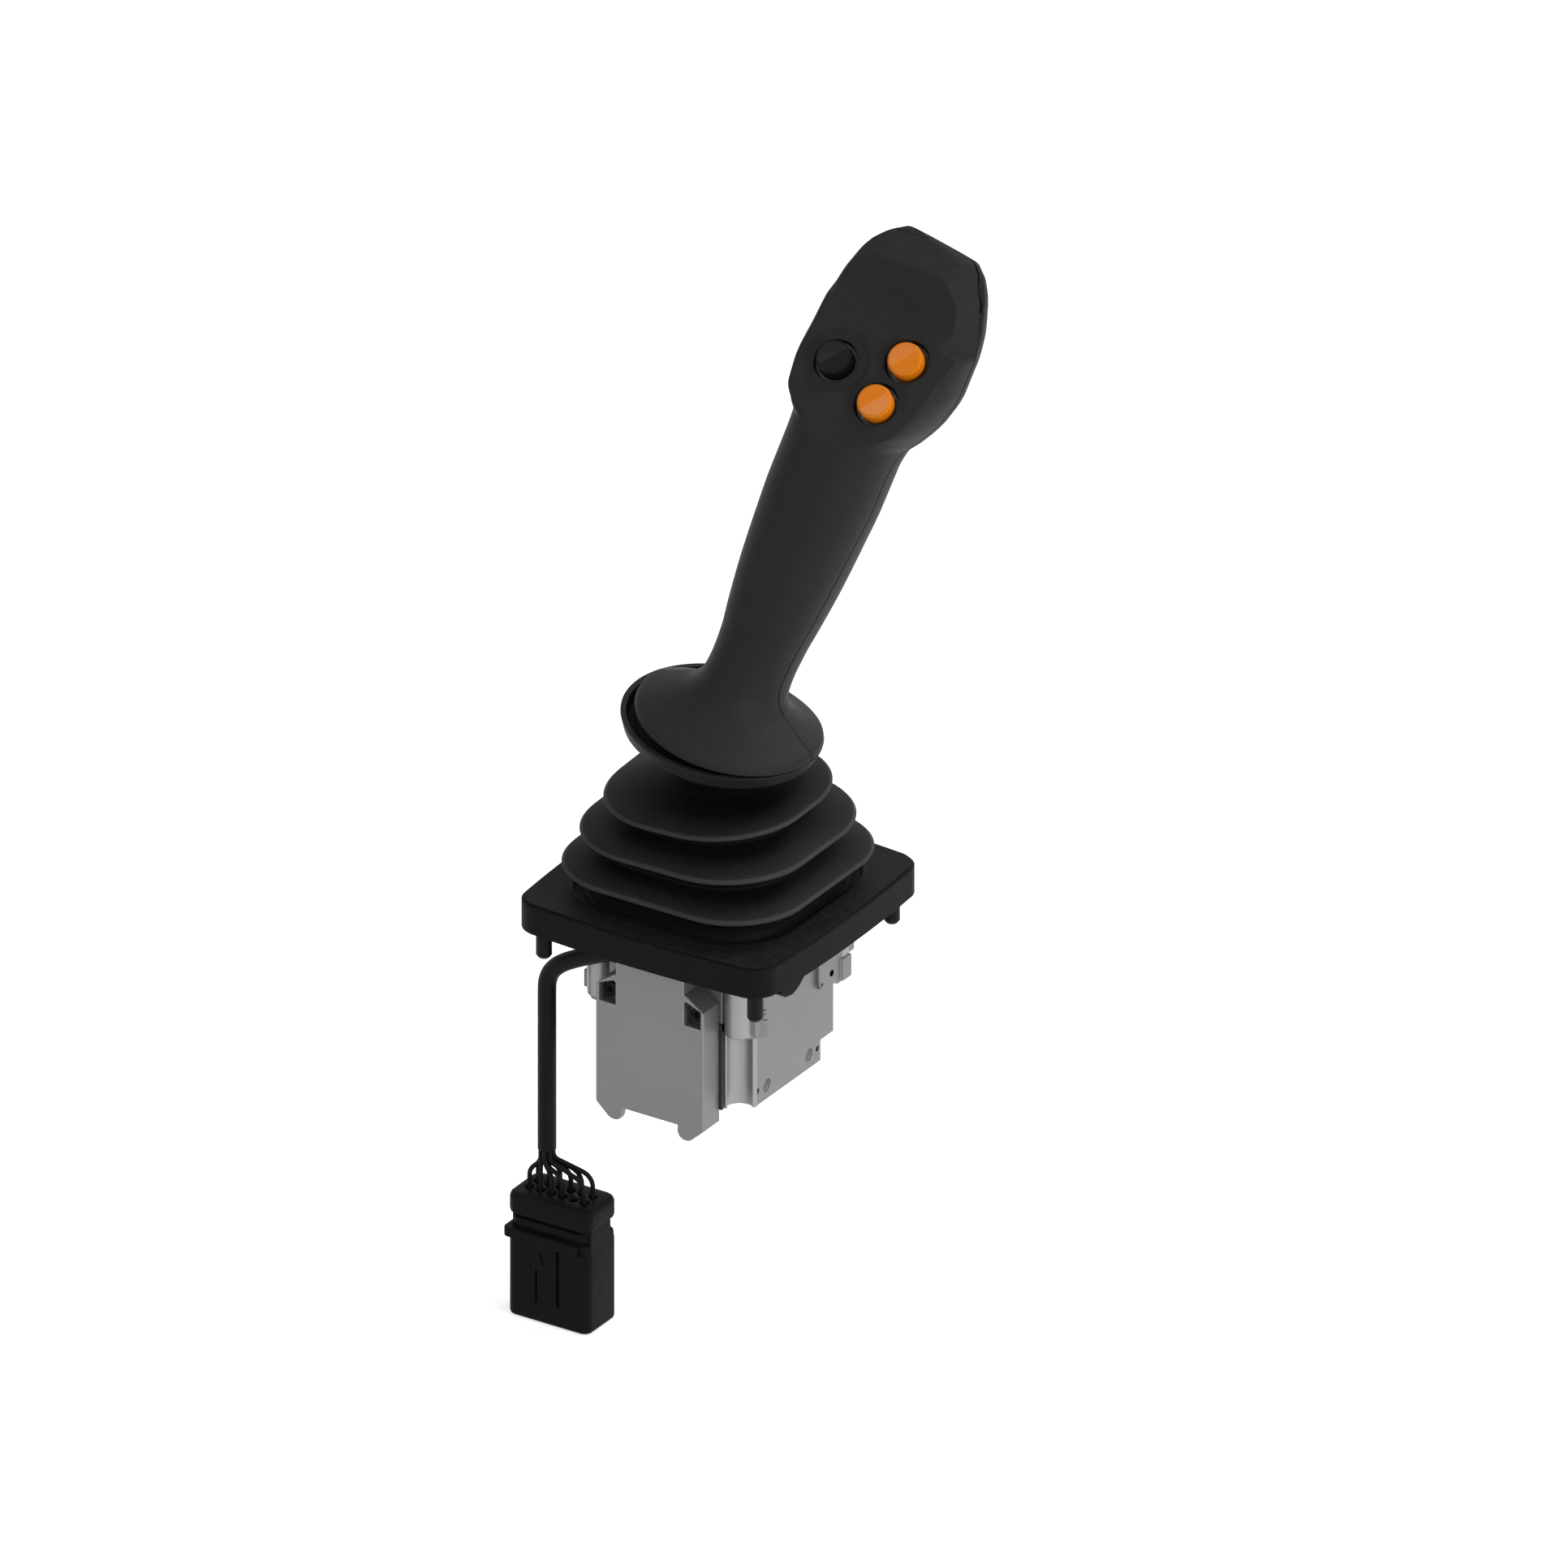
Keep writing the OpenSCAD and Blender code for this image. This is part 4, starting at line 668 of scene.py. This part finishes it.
# Places across, up and out of the face, and the way out of it
def face_uv(points):
    d = points - np.array([0, FACE_MID[0], FACE_MID[1]])
    up = np.array([0, math.sin(FACE_TILT), math.cos(FACE_TILT)])
    out = np.array([0, -math.cos(FACE_TILT), math.sin(FACE_TILT)])
    return d[:, 0], d @ up, d @ out, out


# The face has a shallow round dish about the black button and a soft swell below the others
def sculpt(points):
    u, v, w, out = face_uv(points)
    near = smoothstep(1.6, 0.4, np.abs(w))
    r = np.hypot(u - BUTTONS[0][0] - 0.4, v - BUTTONS[0][1])
    dish = -0.6 * smoothstep(11.4, 9.6, r) * near
    r = np.hypot(u - BUTTONS[2][0], v - BUTTONS[2][1])
    dish = dish - 0.25 * smoothstep(9.8, 8.6, r) * smoothstep(-3, 3, v - BUTTONS[2][1]) * near
    return points + dish[:, None] * out[None, :]


levels = np.concatenate([
    [-0.94, -0.75, -0.3, 0.3, 0.75, 0.95], np.arange(1.5, 15, 0.6), np.arange(15, 92, 1.8),
    np.arange(92, 143.5, 0.62), np.arange(143.5, 163, 0.42), np.arange(163.2, 167.1, 0.35),
    [167.3]])


# Sections between the given ones: smooth below the hood, straight in it, with eased corners
def rows_at(s):
    s = np.atleast_1d(s)
    soft = pchip(SECTIONS[:, 0], SECTIONS[:, 1:], s)
    hard = np.stack([np.interp(s, SECTIONS[:, 0], SECTIONS[:, j]) for j in range(1, 7)], axis=1)
    near = np.stack([(np.interp(s - 0.5, SECTIONS[:, 0], SECTIONS[:, j])
                      + np.interp(s + 0.5, SECTIONS[:, 0], SECTIONS[:, j])) / 2
                     for j in range(1, 7)], axis=1)
    k = smoothstep(146, 153, s)[:, None]
    rim = smoothstep(167.3, 166.6, s)[:, None]
    return soft * (1 - k) + (near * rim + hard * (1 - rim)) * k


# The rim's lower edge is drawn in a little, and the top closes in three small steps
rows = np.concatenate([levels[:, None], rows_at(levels)], axis=1)
rows[0, 3:6] -= 0.25
rows[-1, 3:6] = (13.6, 1.0, 2.3)
cap_rows = np.array([(167.5, 13.4, 0, 13.1, 0.7, 1.8, 3), (167.58, 13.4, 0, 12.4, 0.3, 1.0, 3),
                     (167.6, 13.4, 0, 11.6, 0.08, 0.3, 3)])
rows = np.concatenate([rows, cap_rows])
levels = rows[:, 0]
inner_levels = np.clip(levels, INNER_LOW, INNER_HIGH)


# A half-shell: its skin, its inner wall, and the edges that join them
def shell(name, side, count):
    outer = [sculpt(arc(grip_ring(row, 0.0), side, count, 1.0)) for row in rows]
    inner = []
    for level in inner_levels:
        row = np.concatenate([[level], rows_at(level)[0]])
        inner.append(arc(grip_ring(row, SHELL_WALL), side, count, 0.0))
    base = np.array(inner[0])
    lowest = [k for k, level in enumerate(levels) if level < INNER_LOW]
    for k in lowest:
        inner[k] = base + (np.array([0, 0, -1.0]) * (lowest[-1] + 1 - k) * 0.02)
    high = [k for k, level in enumerate(levels) if level > INNER_HIGH]
    for j, k in enumerate(high):
        inner[k] = inner[high[0] - 1] + np.array([0, 0, 0.02 * (j + 1)])
    m = len(rows)
    verts = np.concatenate(outer + inner)
    verts = [grip_matrix @ Vector(v) for v in verts]
    half = m * count
    faces = grid_faces(m, count, ring=False)
    faces += grid_faces(m, count, ring=False, flip=True, start=half)
    for i in range(m - 1):
        a, b = i * count, (i + 1) * count
        faces.append((a, b, b + half, a + half))
        a, b = i * count + count - 1, (i + 1) * count + count - 1
        faces.append((b, a, a + half, b + half))
    for k in range(count - 1):
        faces.append((k + 1, k, k + half, k + 1 + half))
        t = (m - 1) * count
        faces.append((t + k, t + k + 1, t + k + 1 + half, t + k + half))
    return loose_object(name, verts, faces)


# The front shell has a round pocket with a rolled lip under each cap
front = shell("grip_front_skin", "front", 168)
for place in BUTTONS:
    turn_at = face_matrix @ Matrix.Translation((place[0], place[1], 0))
    v, f = turned([(7.2, -9), (7.2, -0.8), (7.24, -0.5), (7.36, -0.22), (7.6, 0.0), (8.2, 0.25),
                   (9.4, 0.6), (9.4, 4)], 96, turn_at)
    carve(front, loose_object("pocket_cutter", v, f))
rear = shell("grip_rear_skin", "rear", 110)

# Counterbores over the shell screws, each with a cup about the screw head
BORE_R = 2.15
cups = []
for x, s, head in ((10.9, 68, 15), (-10.9, 68, 15), (0, 151, 20)):
    turn_at = grip_matrix @ Matrix.Translation((x, 0, s)) @ Matrix.Rotation(-math.pi / 2, 4, "X")
    v, f = turned([(BORE_R, head - 2), (BORE_R, 40)], 32, turn_at)
    carve(rear, loose_object("bore_cutter", v, f))
    cups.append(turned([(1.4, head - 2.4), (2.6, head - 2.4), (2.6, head - 1.5),
                        (BORE_R, head - 1.5), (BORE_R, head - 2.05), (1.4, head - 2.05)],
                       32, turn_at))
for obj, node in ((front, "grip_front_shell"), (rear, "grip_rear_shell")):
    dress(obj, "lever", "grip_plastic", 38)
    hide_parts(node)
new_object("screw_cups", *join_parts(cups), "lever", "grip_plastic")

# Caps: each top is two flat facets that meet in a straight line
CAP_SPLIT, CAP_SLOPE = math.radians(62), math.tan(math.radians(2.5))
CAP_FACE_R, CAP_TOP, CAP_STEPS = 5.05, 3.2, 48


def cap_facets(name, place, body, slot, side):
    line = Vector((math.cos(CAP_SPLIT), math.sin(CAP_SPLIT)))
    across = Vector((-line.y, line.x))
    verts, faces = [], []
    for half in (-1, 1):
        rim = []
        for k in range(CAP_STEPS + 1):
            a = math.pi * k / CAP_STEPS
            q = line * (CAP_FACE_R * math.cos(a)) + across * (half * CAP_FACE_R * math.sin(a))
            rim.append((q.x, q.y, -side * abs(q.dot(across)) * CAP_SLOPE))
        low = min(c[2] for c in rim)
        top = len(verts)
        verts += [(x, y, z - (low if side > 0 else 0) + 0.02) for x, y, z in rim]
        faces.append(tuple(range(top, top + CAP_STEPS + 1)))
        skirt = len(verts)
        verts += [(x, y, -0.05) for x, y, z in rim]
        for k in range(CAP_STEPS):
            faces.append((top + k, top + k + 1, skirt + k + 1, skirt + k))
    seat = face_matrix @ Matrix.Translation((place[0], place[1], CAP_TOP))
    new_object(name, [seat @ Vector(q) for q in verts], faces, body, slot, 1)


cap_facets("left_cap_face", BUTTONS[0], "left_cap", "black_cap", 1)
cap_facets("upper_cap_face", BUTTONS[1], "upper_cap", "orange_cap", 1)
cap_facets("lower_cap_face", BUTTONS[2], "lower_cap", "orange_cap", -1)

# Boot: rows of level, half-width and corner radius, in two pieces that meet in a fold
BOOT = [(4.5, 39.6, 24), (6.48, 39.6, 24), (6.5, 36.6, 23), (13, 36, 23), (17, 37.6, 23.6),
        (19.1, 42.7, 25), (19.9, 43.1, 25.4), (21.2, 42, 25.2), (24, 35.4, 24), (25.6, 32.8, 24),
        (28.4, 34.6, 26), (30.4, 39.3, 27.8), (31.1, 39.7, 28), (32.4, 38.6, 27.6),
        (35.2, 31.4, 26.6), (36.8, 28.8, 26), (39.4, 30.4, 27.4), (41.2, 34.2, 29),
        (41.8, 34.6, 29.4), (43.1, 33.5, 29), (46, 26.6, 26), (48.2, 22, 22),
        (49.4, 18.6, 18.6), (51, 13.5, 13.5), (55, 13.5, 13.5)]
FOLD = 15
BOOT_WALL, NECK_Z, FOOT_Z = 0.9, 49, 12
# A fold's painted shade is measured against the widest row near it: how near, how deep before
# the shade begins, and how much deeper for the full shade. Rows within LIP_DEPTH of the widest
# are its lip, which gets a painted highlight. The neck under the cup gets painted shade.
FOLD_REACH, FOLD_FROM, FOLD_SPAN, LIP_DEPTH = 5.2, 1.4, 6.6, 0.75
FOLD_PAINTED_SHADE, LIP_PAINTED_HIGHLIGHT, NECK_PAINTED_SHADE = 0.85, 0.85, 0.6


# Rows with rounded corners between them, cut into short steps. A lip stays sharper.
def eased_line(points, radius, step=0.45):
    points = [np.array(q, float) for q in points]
    out = [points[0]]
    for a, b, c in zip(points, points[1:], points[2:]):
        la, lc = np.linalg.norm((a - b)[:2]), np.linalg.norm((c - b)[:2])
        lip = b[1] > a[1] - 1.5 and b[1] > c[1] - 1.5
        r = min(0.3 if lip else radius, la * 0.45, lc * 0.45)
        p0, p2 = b + (a - b) * r / la, b + (c - b) * r / lc
        for s in np.linspace(0, 1, 5):
            out.append(p0 * (1 - s) ** 2 + 2 * b * s * (1 - s) + p2 * s * s)
    out.append(points[-1])
    fine = [out[0]]
    for a, b in zip(out, out[1:]):
        n = max(1, int(np.linalg.norm((b - a)[:2]) / step))
        fine += [a + (b - a) * (k + 1) / n for k in range(n)]
    return np.array(fine)


# A square ring with round corners, in even steps round it
def rounded_ring(half, radius, z, n=192):
    pts = []
    straight = max(half - radius, 0.0)
    for q in range(4):
        sx = 1 if q in (0, 3) else -1
        sy = 1 if q < 2 else -1
        for i in range(n // 4):
            a = math.radians(90 * q + 90 * i / (n // 4 - 1))
            pts.append((sx * straight + radius * math.cos(a), sy * straight + radius * math.sin(a)))
    pts.append(pts[0])
    pts = np.array(pts)
    seg = np.concatenate([[0], np.cumsum(np.linalg.norm(np.diff(pts, axis=0), axis=1))])
    t = np.linspace(0, seg[-1], n, endpoint=False)
    x, y = np.interp(t, seg, pts[:, 0]), np.interp(t, seg, pts[:, 1])
    return [(a, b, z) for a, b in zip(x, y)]


# The upper rings lean a little with the lever
def leaned(ring):
    out = []
    for x, y, z in ring:
        w = np.interp(z, [24, 31, 36.8, 41.8, 46, 49.4], [0, 0.3, 0.6, 1, 0.7, 0])
        out.append((x, y, z + w * (1.7 + 0.0446 * x + 0.0384 * y)))
    return out


# One piece of the boot, with painted light marks on its points: red for painted shade in a fold
# and under the cup, green for a painted highlight on a lip
def boot_piece(name, lines):
    rings = [rounded_ring(h, min(r, h), z) for z, h, r in lines]
    inner = []
    for k in range(len(lines) - 1, -1, -1):
        z, h, r = lines[k]
        a, b = lines[max(k - 1, 0)], lines[min(k + 1, len(lines) - 1)]
        t = np.array([b[0] - a[0], b[1] - a[1]])
        t /= max(np.linalg.norm(t), 1e-6)
        inner.append(rounded_ring(h - BOOT_WALL * t[0], min(r, h) - BOOT_WALL * t[0],
                                  z + BOOT_WALL * t[1]))
    rings = [leaned(ring) for ring in rings + inner]
    n = len(rings[0])
    verts = [p for ring in rings for p in ring]
    faces = grid_faces(len(rings), n)
    top = (len(rings) - 1) * n
    faces += [(top + k, top + (k + 1) % n, (k + 1) % n, k) for k in range(n)]
    obj = loose_object(name, verts, faces)
    finish_mesh(obj, M["boot_rubber"], 60)
    # Painted shade for the folds and the neck, and a painted highlight for the lips
    painted_marks = []
    for z, h, r in [*lines, *lines[::-1]]:
        widest = max(b for a, b, c in lines if abs(a - z) < FOLD_REACH)
        fold = min(max((widest - h - FOLD_FROM) / FOLD_SPAN, 0), 1)
        painted_marks.append((fold * FOLD_PAINTED_SHADE if z < NECK_Z else NECK_PAINTED_SHADE,
                      LIP_PAINTED_HIGHLIGHT if widest - h < LIP_DEPTH and z > FOOT_Z else 0.0))
    layer = obj.data.color_attributes.new("painted_shade_and_highlight", "FLOAT_COLOR", "POINT")
    for k in range(len(obj.data.vertices)):
        fold, lip = painted_marks[k // n]
        layer.data[k].color = (fold, lip, 0, 1)
    return obj


# The boot's foot, with a bead and a groove round it
FOOT = [(5.6, 38.6, 23.4), (10.3, 40.2, 24), (10.52, 41, 24.7), (10.56, 40.8, 24.6),
        (9.7, 38.6, 24), (9.0, 37.2, 23.6), (9.2, 36.3, 23.4), (11.5, 35.8, 23.2),
        (14.6, 36, 23.2), (17, 37.6, 23.6)]
boot_low = boot_piece("boot_lower", eased_line(FOOT + BOOT[5:FOLD + 1], 1.1))
boot_high = boot_piece("boot_upper", eased_line(BOOT[FOLD:], 1.3))
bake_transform(boot_low)
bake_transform(boot_high)
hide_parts("boot")
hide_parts("boot")


# Rounds an object's edges, and keeps its faces flat in the shading
def ease_edges(obj, look, width, angle, shade, **more):
    modify(obj, "BEVEL", width=width * MM, segments=3, limit_method="ANGLE",
           angle_limit=math.radians(angle), **more)
    apply_all(obj)
    finish_mesh(obj, M[look], shade)
    modify(obj, "WEIGHTED_NORMAL", mode="FACE_AREA", weight=100, keep_sharp=True)
    apply_all(obj)
    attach(obj, "base")


# A copy of a hard CAD shape with real rounded edges, in place of the sharp ones
def eased(node, width):
    name = node + "_eased"
    obj = bpy.data.objects.new(name, nodes[node].data.copy())
    obj.data.name = name
    scene.collection.objects.link(obj)
    bm = bmesh.new()
    bm.from_mesh(obj.data)
    bmesh.ops.remove_doubles(bm, verts=bm.verts, dist=2e-6)
    bmesh.ops.dissolve_limit(bm, angle_limit=math.radians(0.6), verts=bm.verts, edges=bm.edges)
    bm.to_mesh(obj.data)
    bm.free()
    ease_edges(obj, slot_of[node], width, 28, 30, use_clamp_overlap=True, harden_normals=False,
               miter_outer="MITER_ARC")
    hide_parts(node)


eased("base_housing", 0.6)
eased("front_cover", 0.5)
eased("bezel_flange", 0.5)


# Connector: a lofted housing with its cap, neck, flange, ribs, slots and lead holes
def block_rows(rows):
    rings = []
    for w, d, r, z in rows:
        ring = []
        for q in range(4):
            sx = 1 if q in (0, 3) else -1
            sy = 1 if q < 2 else -1
            for i in range(12):
                a = math.radians(90 * q + 90 * i / 11)
                ring.append((BODY_X + sx * (w / 2 - r) + r * math.cos(a),
                             CABLE_Y + sy * (d / 2 - r) + r * math.sin(a), z))
        rings.append(ring)
    return rings_mesh(rings)


def box_part(x0, x1, y0, y1, z0, z1):
    v = [(x, y, z) for x in (x0, x1) for y in (y0, y1) for z in (z0, z1)]
    f = [(0, 1, 3, 2), (4, 6, 7, 5), (0, 4, 5, 1), (2, 3, 7, 6), (0, 2, 6, 4), (1, 5, 7, 3)]
    return v, f


# Width and depth of the connector, then its rows of width, depth, corner radius and level
W, D = 30.8, 17.8
body_rows = [(W - 7, D - 7, 1.5, -97.0), (W - 3.2, D - 3.2, 2.2, -97.0),
             (W - 1.5, D - 1.5, 2.9, -97.18), (W - 0.4, D - 0.4, 3.3, -97.7),
             (W + 0.3, D + 0.3, 3.6, -98.6), (W + 0.4, D + 0.4, 3.6, -99.4),
             (W + 0.4, D + 0.4, 3.6, -103.1), (W - 0.1, D - 0.1, 3.4, -104.1),
             (W - 0.9, D - 0.9, 3, -104.4), (W - 3.2, D - 3.2, 2, -104.45),
             (W - 3.2, D - 3.2, 2, -105.4), (W - 2.8, D - 1.6, 2.6, -105.45),
             (W - 2.8, D - 0.8, 3, -105.6), (W - 2.6, D - 0.2, 3.2, -106.1),
             (W - 2.6, D - 0.2, 3.2, -107.7), (W - 2.8, D - 0.8, 3, -108.1),
             (W - 3.2, D - 2.4, 2.4, -108.2), (W - 3.2, D - 2.4, 2.4, -109.1),
             (W - 0.5, D - 0.5, 3, -109.3), (W, D, 3, -112), (W, D, 3, -139.6),
             (W - 0.35, D - 0.35, 2.9, -140.3), (W - 1.1, D - 1.1, 2.6, -140.65),
             (W - 3.2, D - 3.2, 1.7, -140.65), (W - 3.6, D - 3.6, 1.6, -140.2),
             (W - 3.6, D - 3.6, 1.6, -118)]
plug = loose_object("connector_shell", *block_rows(body_rows))
# Cut into it: the lead holes, and three slots and a small triangle on its front
holes = []
for i in range(CONTACTS):
    x, y = contact(i)
    holes.append(turned([(1.3, -101.6), (1.3, -98.0), (1.36, -97.5), (1.6, -97.1), (2.0, -96.9),
                         (2.0, -96)], 28, Matrix.Translation((x, y, 0))))
front_y = CABLE_Y - D / 2
holes.append(box_part(-40.9, -40.1, front_y - 1, front_y + 0.9, -133.8, -122.2))
holes.append(box_part(-33.0, -31.6, front_y - 1, front_y + 0.9, -133.4, -113.6))
holes.append(box_part(-42.75, -42.45, front_y - 1, front_y + 0.22, -131, -113.6))
tri = [(-39.8, front_y - 1, -116), (-36.4, front_y - 1, -116), (-38.1, front_y - 1, -120.2)]
tri += [(x, front_y + 0.45, z) for x, _, z in tri]
holes.append((tri, [(0, 1, 2), (5, 4, 3), (0, 3, 4, 1), (1, 4, 5, 2), (2, 5, 3, 0)]))
carve(plug, loose_object("hole_cutter", *join_parts(holes)))
finish_mesh(plug, M["black_plastic"], 34)


# Collars over the screw posts, linings of their grooves, and the casting's lugs, ear and bracket
def prism(plan, z0, z1):
    return rings_mesh([[(x, y, z) for x, y in plan] for z in (z0, z1)])


def yz_prism(outline, x0, x1):
    return rings_mesh([[(x, y, z) for y, z in outline] for x in (x0, x1)])


def fine_block(name, parts, width, look):
    obj = loose_object(name, *join_parts(parts))
    ease_edges(obj, look, width, 30, 34)
    return obj


POST_X, POST_Y = 26, 27.6
collars = [turned([(3.86, -25.2), (4.7, -25.2), (4.83, -25.05), (4.83, -0.7), (4.4, -0.35),
                   (3.86, -0.35), (3.86, -25.2)], 48,
                  Matrix.Translation((sx * POST_X, sy * POST_Y, 0)))
           for sx in (-1, 1) for sy in (-1, 1)]
new_object("post_collars", *join_parts(collars), "base", "machined", slot="die_cast")
liners = []
for s in (-1, 1):
    bow = [math.radians(a) for a in np.linspace(58, 187, 25)]
    plan = [(s * (POST_X + 5.0 * math.cos(a)), -POST_Y + 5.0 * math.sin(a)) for a in bow]
    plan += [(s * (POST_X + 6.2 * math.cos(a)), -POST_Y + 6.2 * math.sin(a)) for a in bow[::-1]]
    liners.append(prism(plan, -53.25, -25.4))
    for x, y, r in ((28.3, -22.95, 0.52), (21.35, -28.35, 0.5)):
        bead = [(s * x + r * math.cos(a), y + r * math.sin(a))
                for a in np.linspace(0, 2 * math.pi, 20, endpoint=False)]
        liners.append(prism(bead, -53.3, -25.4))
new_object("post_grooves", *join_parts(liners), "base", "machined", slot="die_cast")
lug = [prism([(28, -28.2), (31.1, -26), (33.9, -22.4), (28, -20.5)], -27, -20.9),
       prism([(28, -25.6), (31.2, -24.9), (33.6, -22.2), (28, -21)], -18.6, -17.7),
       prism([(28, -24.6), (30.4, -24.2), (32.4, -22), (28, -21)], -15.6, -14.9)]
fine_block("side_lugs", lug, 0.3, "die_cast")
fine_block("side_ear", [box_part(-30.2, -24.7, -28.9, -22, -28.8, -21.8)], 1.3, "die_cast")
fine_block("side_bracket", [
    yz_prism([(12.6, -24), (13.4, -26.9), (21, -27.2), (23, -29), (29.5, -29), (29.5, -12),
              (12.6, -12)], 28.4, 30.4),
    yz_prism([(16, -17), (29.5, -17), (29.5, -14.2), (16, -14.2)], 30, 31.8),
    yz_prism([(24.8, -28.4), (29.9, -28.4), (29.9, -20.5), (24.8, -20.5)], 30.2, 31.4),
    box_part(24, 30, 28.6, 33.6, -21, -9), box_part(26.2, 31.2, 31, 35, -17, -7)],
    0.35, "die_cast")
pin_at = Matrix.Translation((-27.4, -28.9, -26.2)) @ Matrix.Rotation(math.pi / 2, 4, "X")
pin = turned([(0.02, 0.3), (0.9, 0.28), (1.25, 0.1), (1.4, -0.3)], 28, pin_at)
new_object("ear_pin", *pin, "base", "die_cast")
# Flat dark marks on the bracket in place of a round hole and a triangular notch: painted shade
holes = [turned([(1.1, 0.06), (0.02, 0.06)], 24, Matrix.Translation((30.4, 19.6, -23.4))
                @ Matrix.Rotation(math.pi / 2, 4, "Y")),
         yz_prism([(13.3, -24.3), (13.3, -26.1), (14.9, -25.1)], 30.3, 30.46)]
new_object("bracket_hole_shade", *join_parts(holes), "base", "seal_rubber")

# Painted shadow: dark strips in the gap beside the cover. Painted shade: dark floors in the small
# blind holes low on the sides
shadow_strips = [box_part(s * 20.65 - 0.75, s * 20.65 + 0.75, -30.95, -29.4, -53, -22.4)
          for s in (-1, 1)]
new_object("cover_gap_shadow", *join_parts(shadow_strips), "base", "seal_rubber")
# Dark discs inside the blind holes: painted shade
shade_discs = [turned([(1.05, -0.2), (1.05, 0.0), (0.02, 0.05)], 24,
                 Matrix.Translation((s * (28.8 - 0.45), y, -48.5))
                 @ Matrix.Rotation(s * math.pi / 2, 4, "Y"))
          for s in (-1, 1) for y in (-21.1, 13.8)]
new_object("hole_shade_discs", *join_parts(shade_discs), "base", "black_steel")

# Flange of the connector, with two round corners, and its ribs
CORNER = 1.8
rim_l, rim_r, rim_y = BODY_X - W / 2 - 0.85, BODY_X + W / 2 - 3.4, D / 2 + 1.2
quarter = np.linspace(0, math.pi / 2, 7)
plan = [(rim_r, -rim_y), (rim_r, rim_y)]
plan += [(rim_l + CORNER - CORNER * math.sin(a), rim_y - CORNER + CORNER * math.cos(a))
         for a in quarter]
plan += [(rim_l + CORNER - CORNER * math.cos(a), -rim_y + CORNER - CORNER * math.sin(a))
         for a in quarter]
flange = fine_block("connector_flange", [rings_mesh(
    [[(x, CABLE_Y + y, z) for x, y in plan] for z in (-112.7, -109.3)])], 0.35, "black_plastic")
right, left = BODY_X + W / 2, BODY_X - W / 2
ribs = fine_block("connector_ribs", [
    box_part(right - 2.9, right - 0.05, CABLE_Y - 6.9, CABLE_Y + 4.4, -112.5, -99),
    box_part(left + 1.35, left + 2.9, CABLE_Y - 7.4, CABLE_Y + 7.4, -112.5, -99),
    box_part(-24.6, -22.7, front_y - 0.7, front_y + 0.5, -116.6, -112.4)], 0.3, "black_plastic")
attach(plug, "base")
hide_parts("connector_body", "connector_seal")

# Plain pale floor, below the connector, and a world of even white. Both are bright where a
# camera, glossy or transmission ray meets them, and softer for light.
FLOOR_GLOW, WORLD_LIGHT, FLOOR_HALF, FLOOR_GAP = 0.62, 0.36, 3.0, 0.0005


def show_two(tree, lit, shown, output):
    rays = tree.nodes.new("ShaderNodeLightPath")
    seen = rays.outputs["Is Camera Ray"]
    for kind in ("Is Glossy Ray", "Is Transmission Ray"):
        seen = math_node(tree, "MAXIMUM", seen, rays.outputs[kind])
    choose = tree.nodes.new("ShaderNodeMixShader")
    feed(tree, choose.inputs, (seen, lit, shown))
    tree.links.new(choose.outputs[0], tree.nodes[output].inputs["Surface"])


floor_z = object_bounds()[0].z - FLOOR_GAP
me = bpy.data.meshes.new("floor")
me.from_pydata([(x * FLOOR_HALF, y * FLOOR_HALF, floor_z)
                for x, y in ((-1, -1), (1, -1), (1, 1), (-1, 1))], [], [(0, 1, 2, 3)])
floor = bpy.data.objects.new("floor", me)
scene.collection.objects.link(floor)
mat = bpy.data.materials.new("floor")
mat.use_nodes = True
tree = mat.node_tree
shader = tree.nodes["Principled BSDF"]
shader.inputs["Base Color"].default_value = (0.8, 0.8, 0.8, 1)
shader.inputs["Roughness"].default_value = 0.9
shader.inputs["Specular IOR Level"].default_value = 0.1
glow = tree.nodes.new("ShaderNodeEmission")
glow.inputs["Strength"].default_value = FLOOR_GLOW
added = tree.nodes.new("ShaderNodeAddShader")
feed(tree, added.inputs, (shader.outputs[0], glow.outputs[0]))
show_two(tree, shader.outputs[0], added.outputs[0], "Material Output")
me.materials.append(mat)

world = bpy.data.worlds.new("studio")
scene.world = world
world.use_nodes = True
tree = world.node_tree
soft, white = tree.nodes["Background"], tree.nodes.new("ShaderNodeBackground")
for node, strength in ((soft, WORLD_LIGHT), (white, 1.0)):
    node.inputs["Color"].default_value = (1, 1, 1, 1)
    node.inputs["Strength"].default_value = strength
show_two(tree, soft.outputs[0], white.outputs[0], "World Output")


# Lamps: round, with a place and an aim in metres
def lamp(name, place, size, power, aim=(0, 0, 0.03)):
    data = bpy.data.lights.new(name, "AREA")
    data.shape = "DISK"
    data.size = size
    data.energy = power
    obj = bpy.data.objects.new(name, data)
    scene.collection.objects.link(obj)
    obj.location = place
    obj.rotation_euler = (Vector(aim) - Vector(place)).to_track_quat("-Z", "Y").to_euler()


lamp("key_right", (1.26, -0.3, 0.45), 0.7, 9.2)
lamp("high_back", (0.5, 0.75, 1.15), 0.8, 10)
lamp("front_left", (-0.6, -1.3, 0.5), 0.9, 3.0)

# A small lamp, placed so that one facet of each cap mirrors it into the camera
GLINT_AT = Vector((0.06, -0.05, 0.18))
GLINT_SLOPE = 0.0437
tilted = face_matrix.to_3x3() @ Vector((-GLINT_SLOPE * math.sin(CAP_SPLIT),
                                        GLINT_SLOPE * math.cos(CAP_SPLIT), 1))
tilted.normalize()
toward = 2 * tilted.dot(VIEW) * tilted - VIEW
lamp("cap_glint", GLINT_AT + toward, 0.18, 0.5, aim=GLINT_AT)
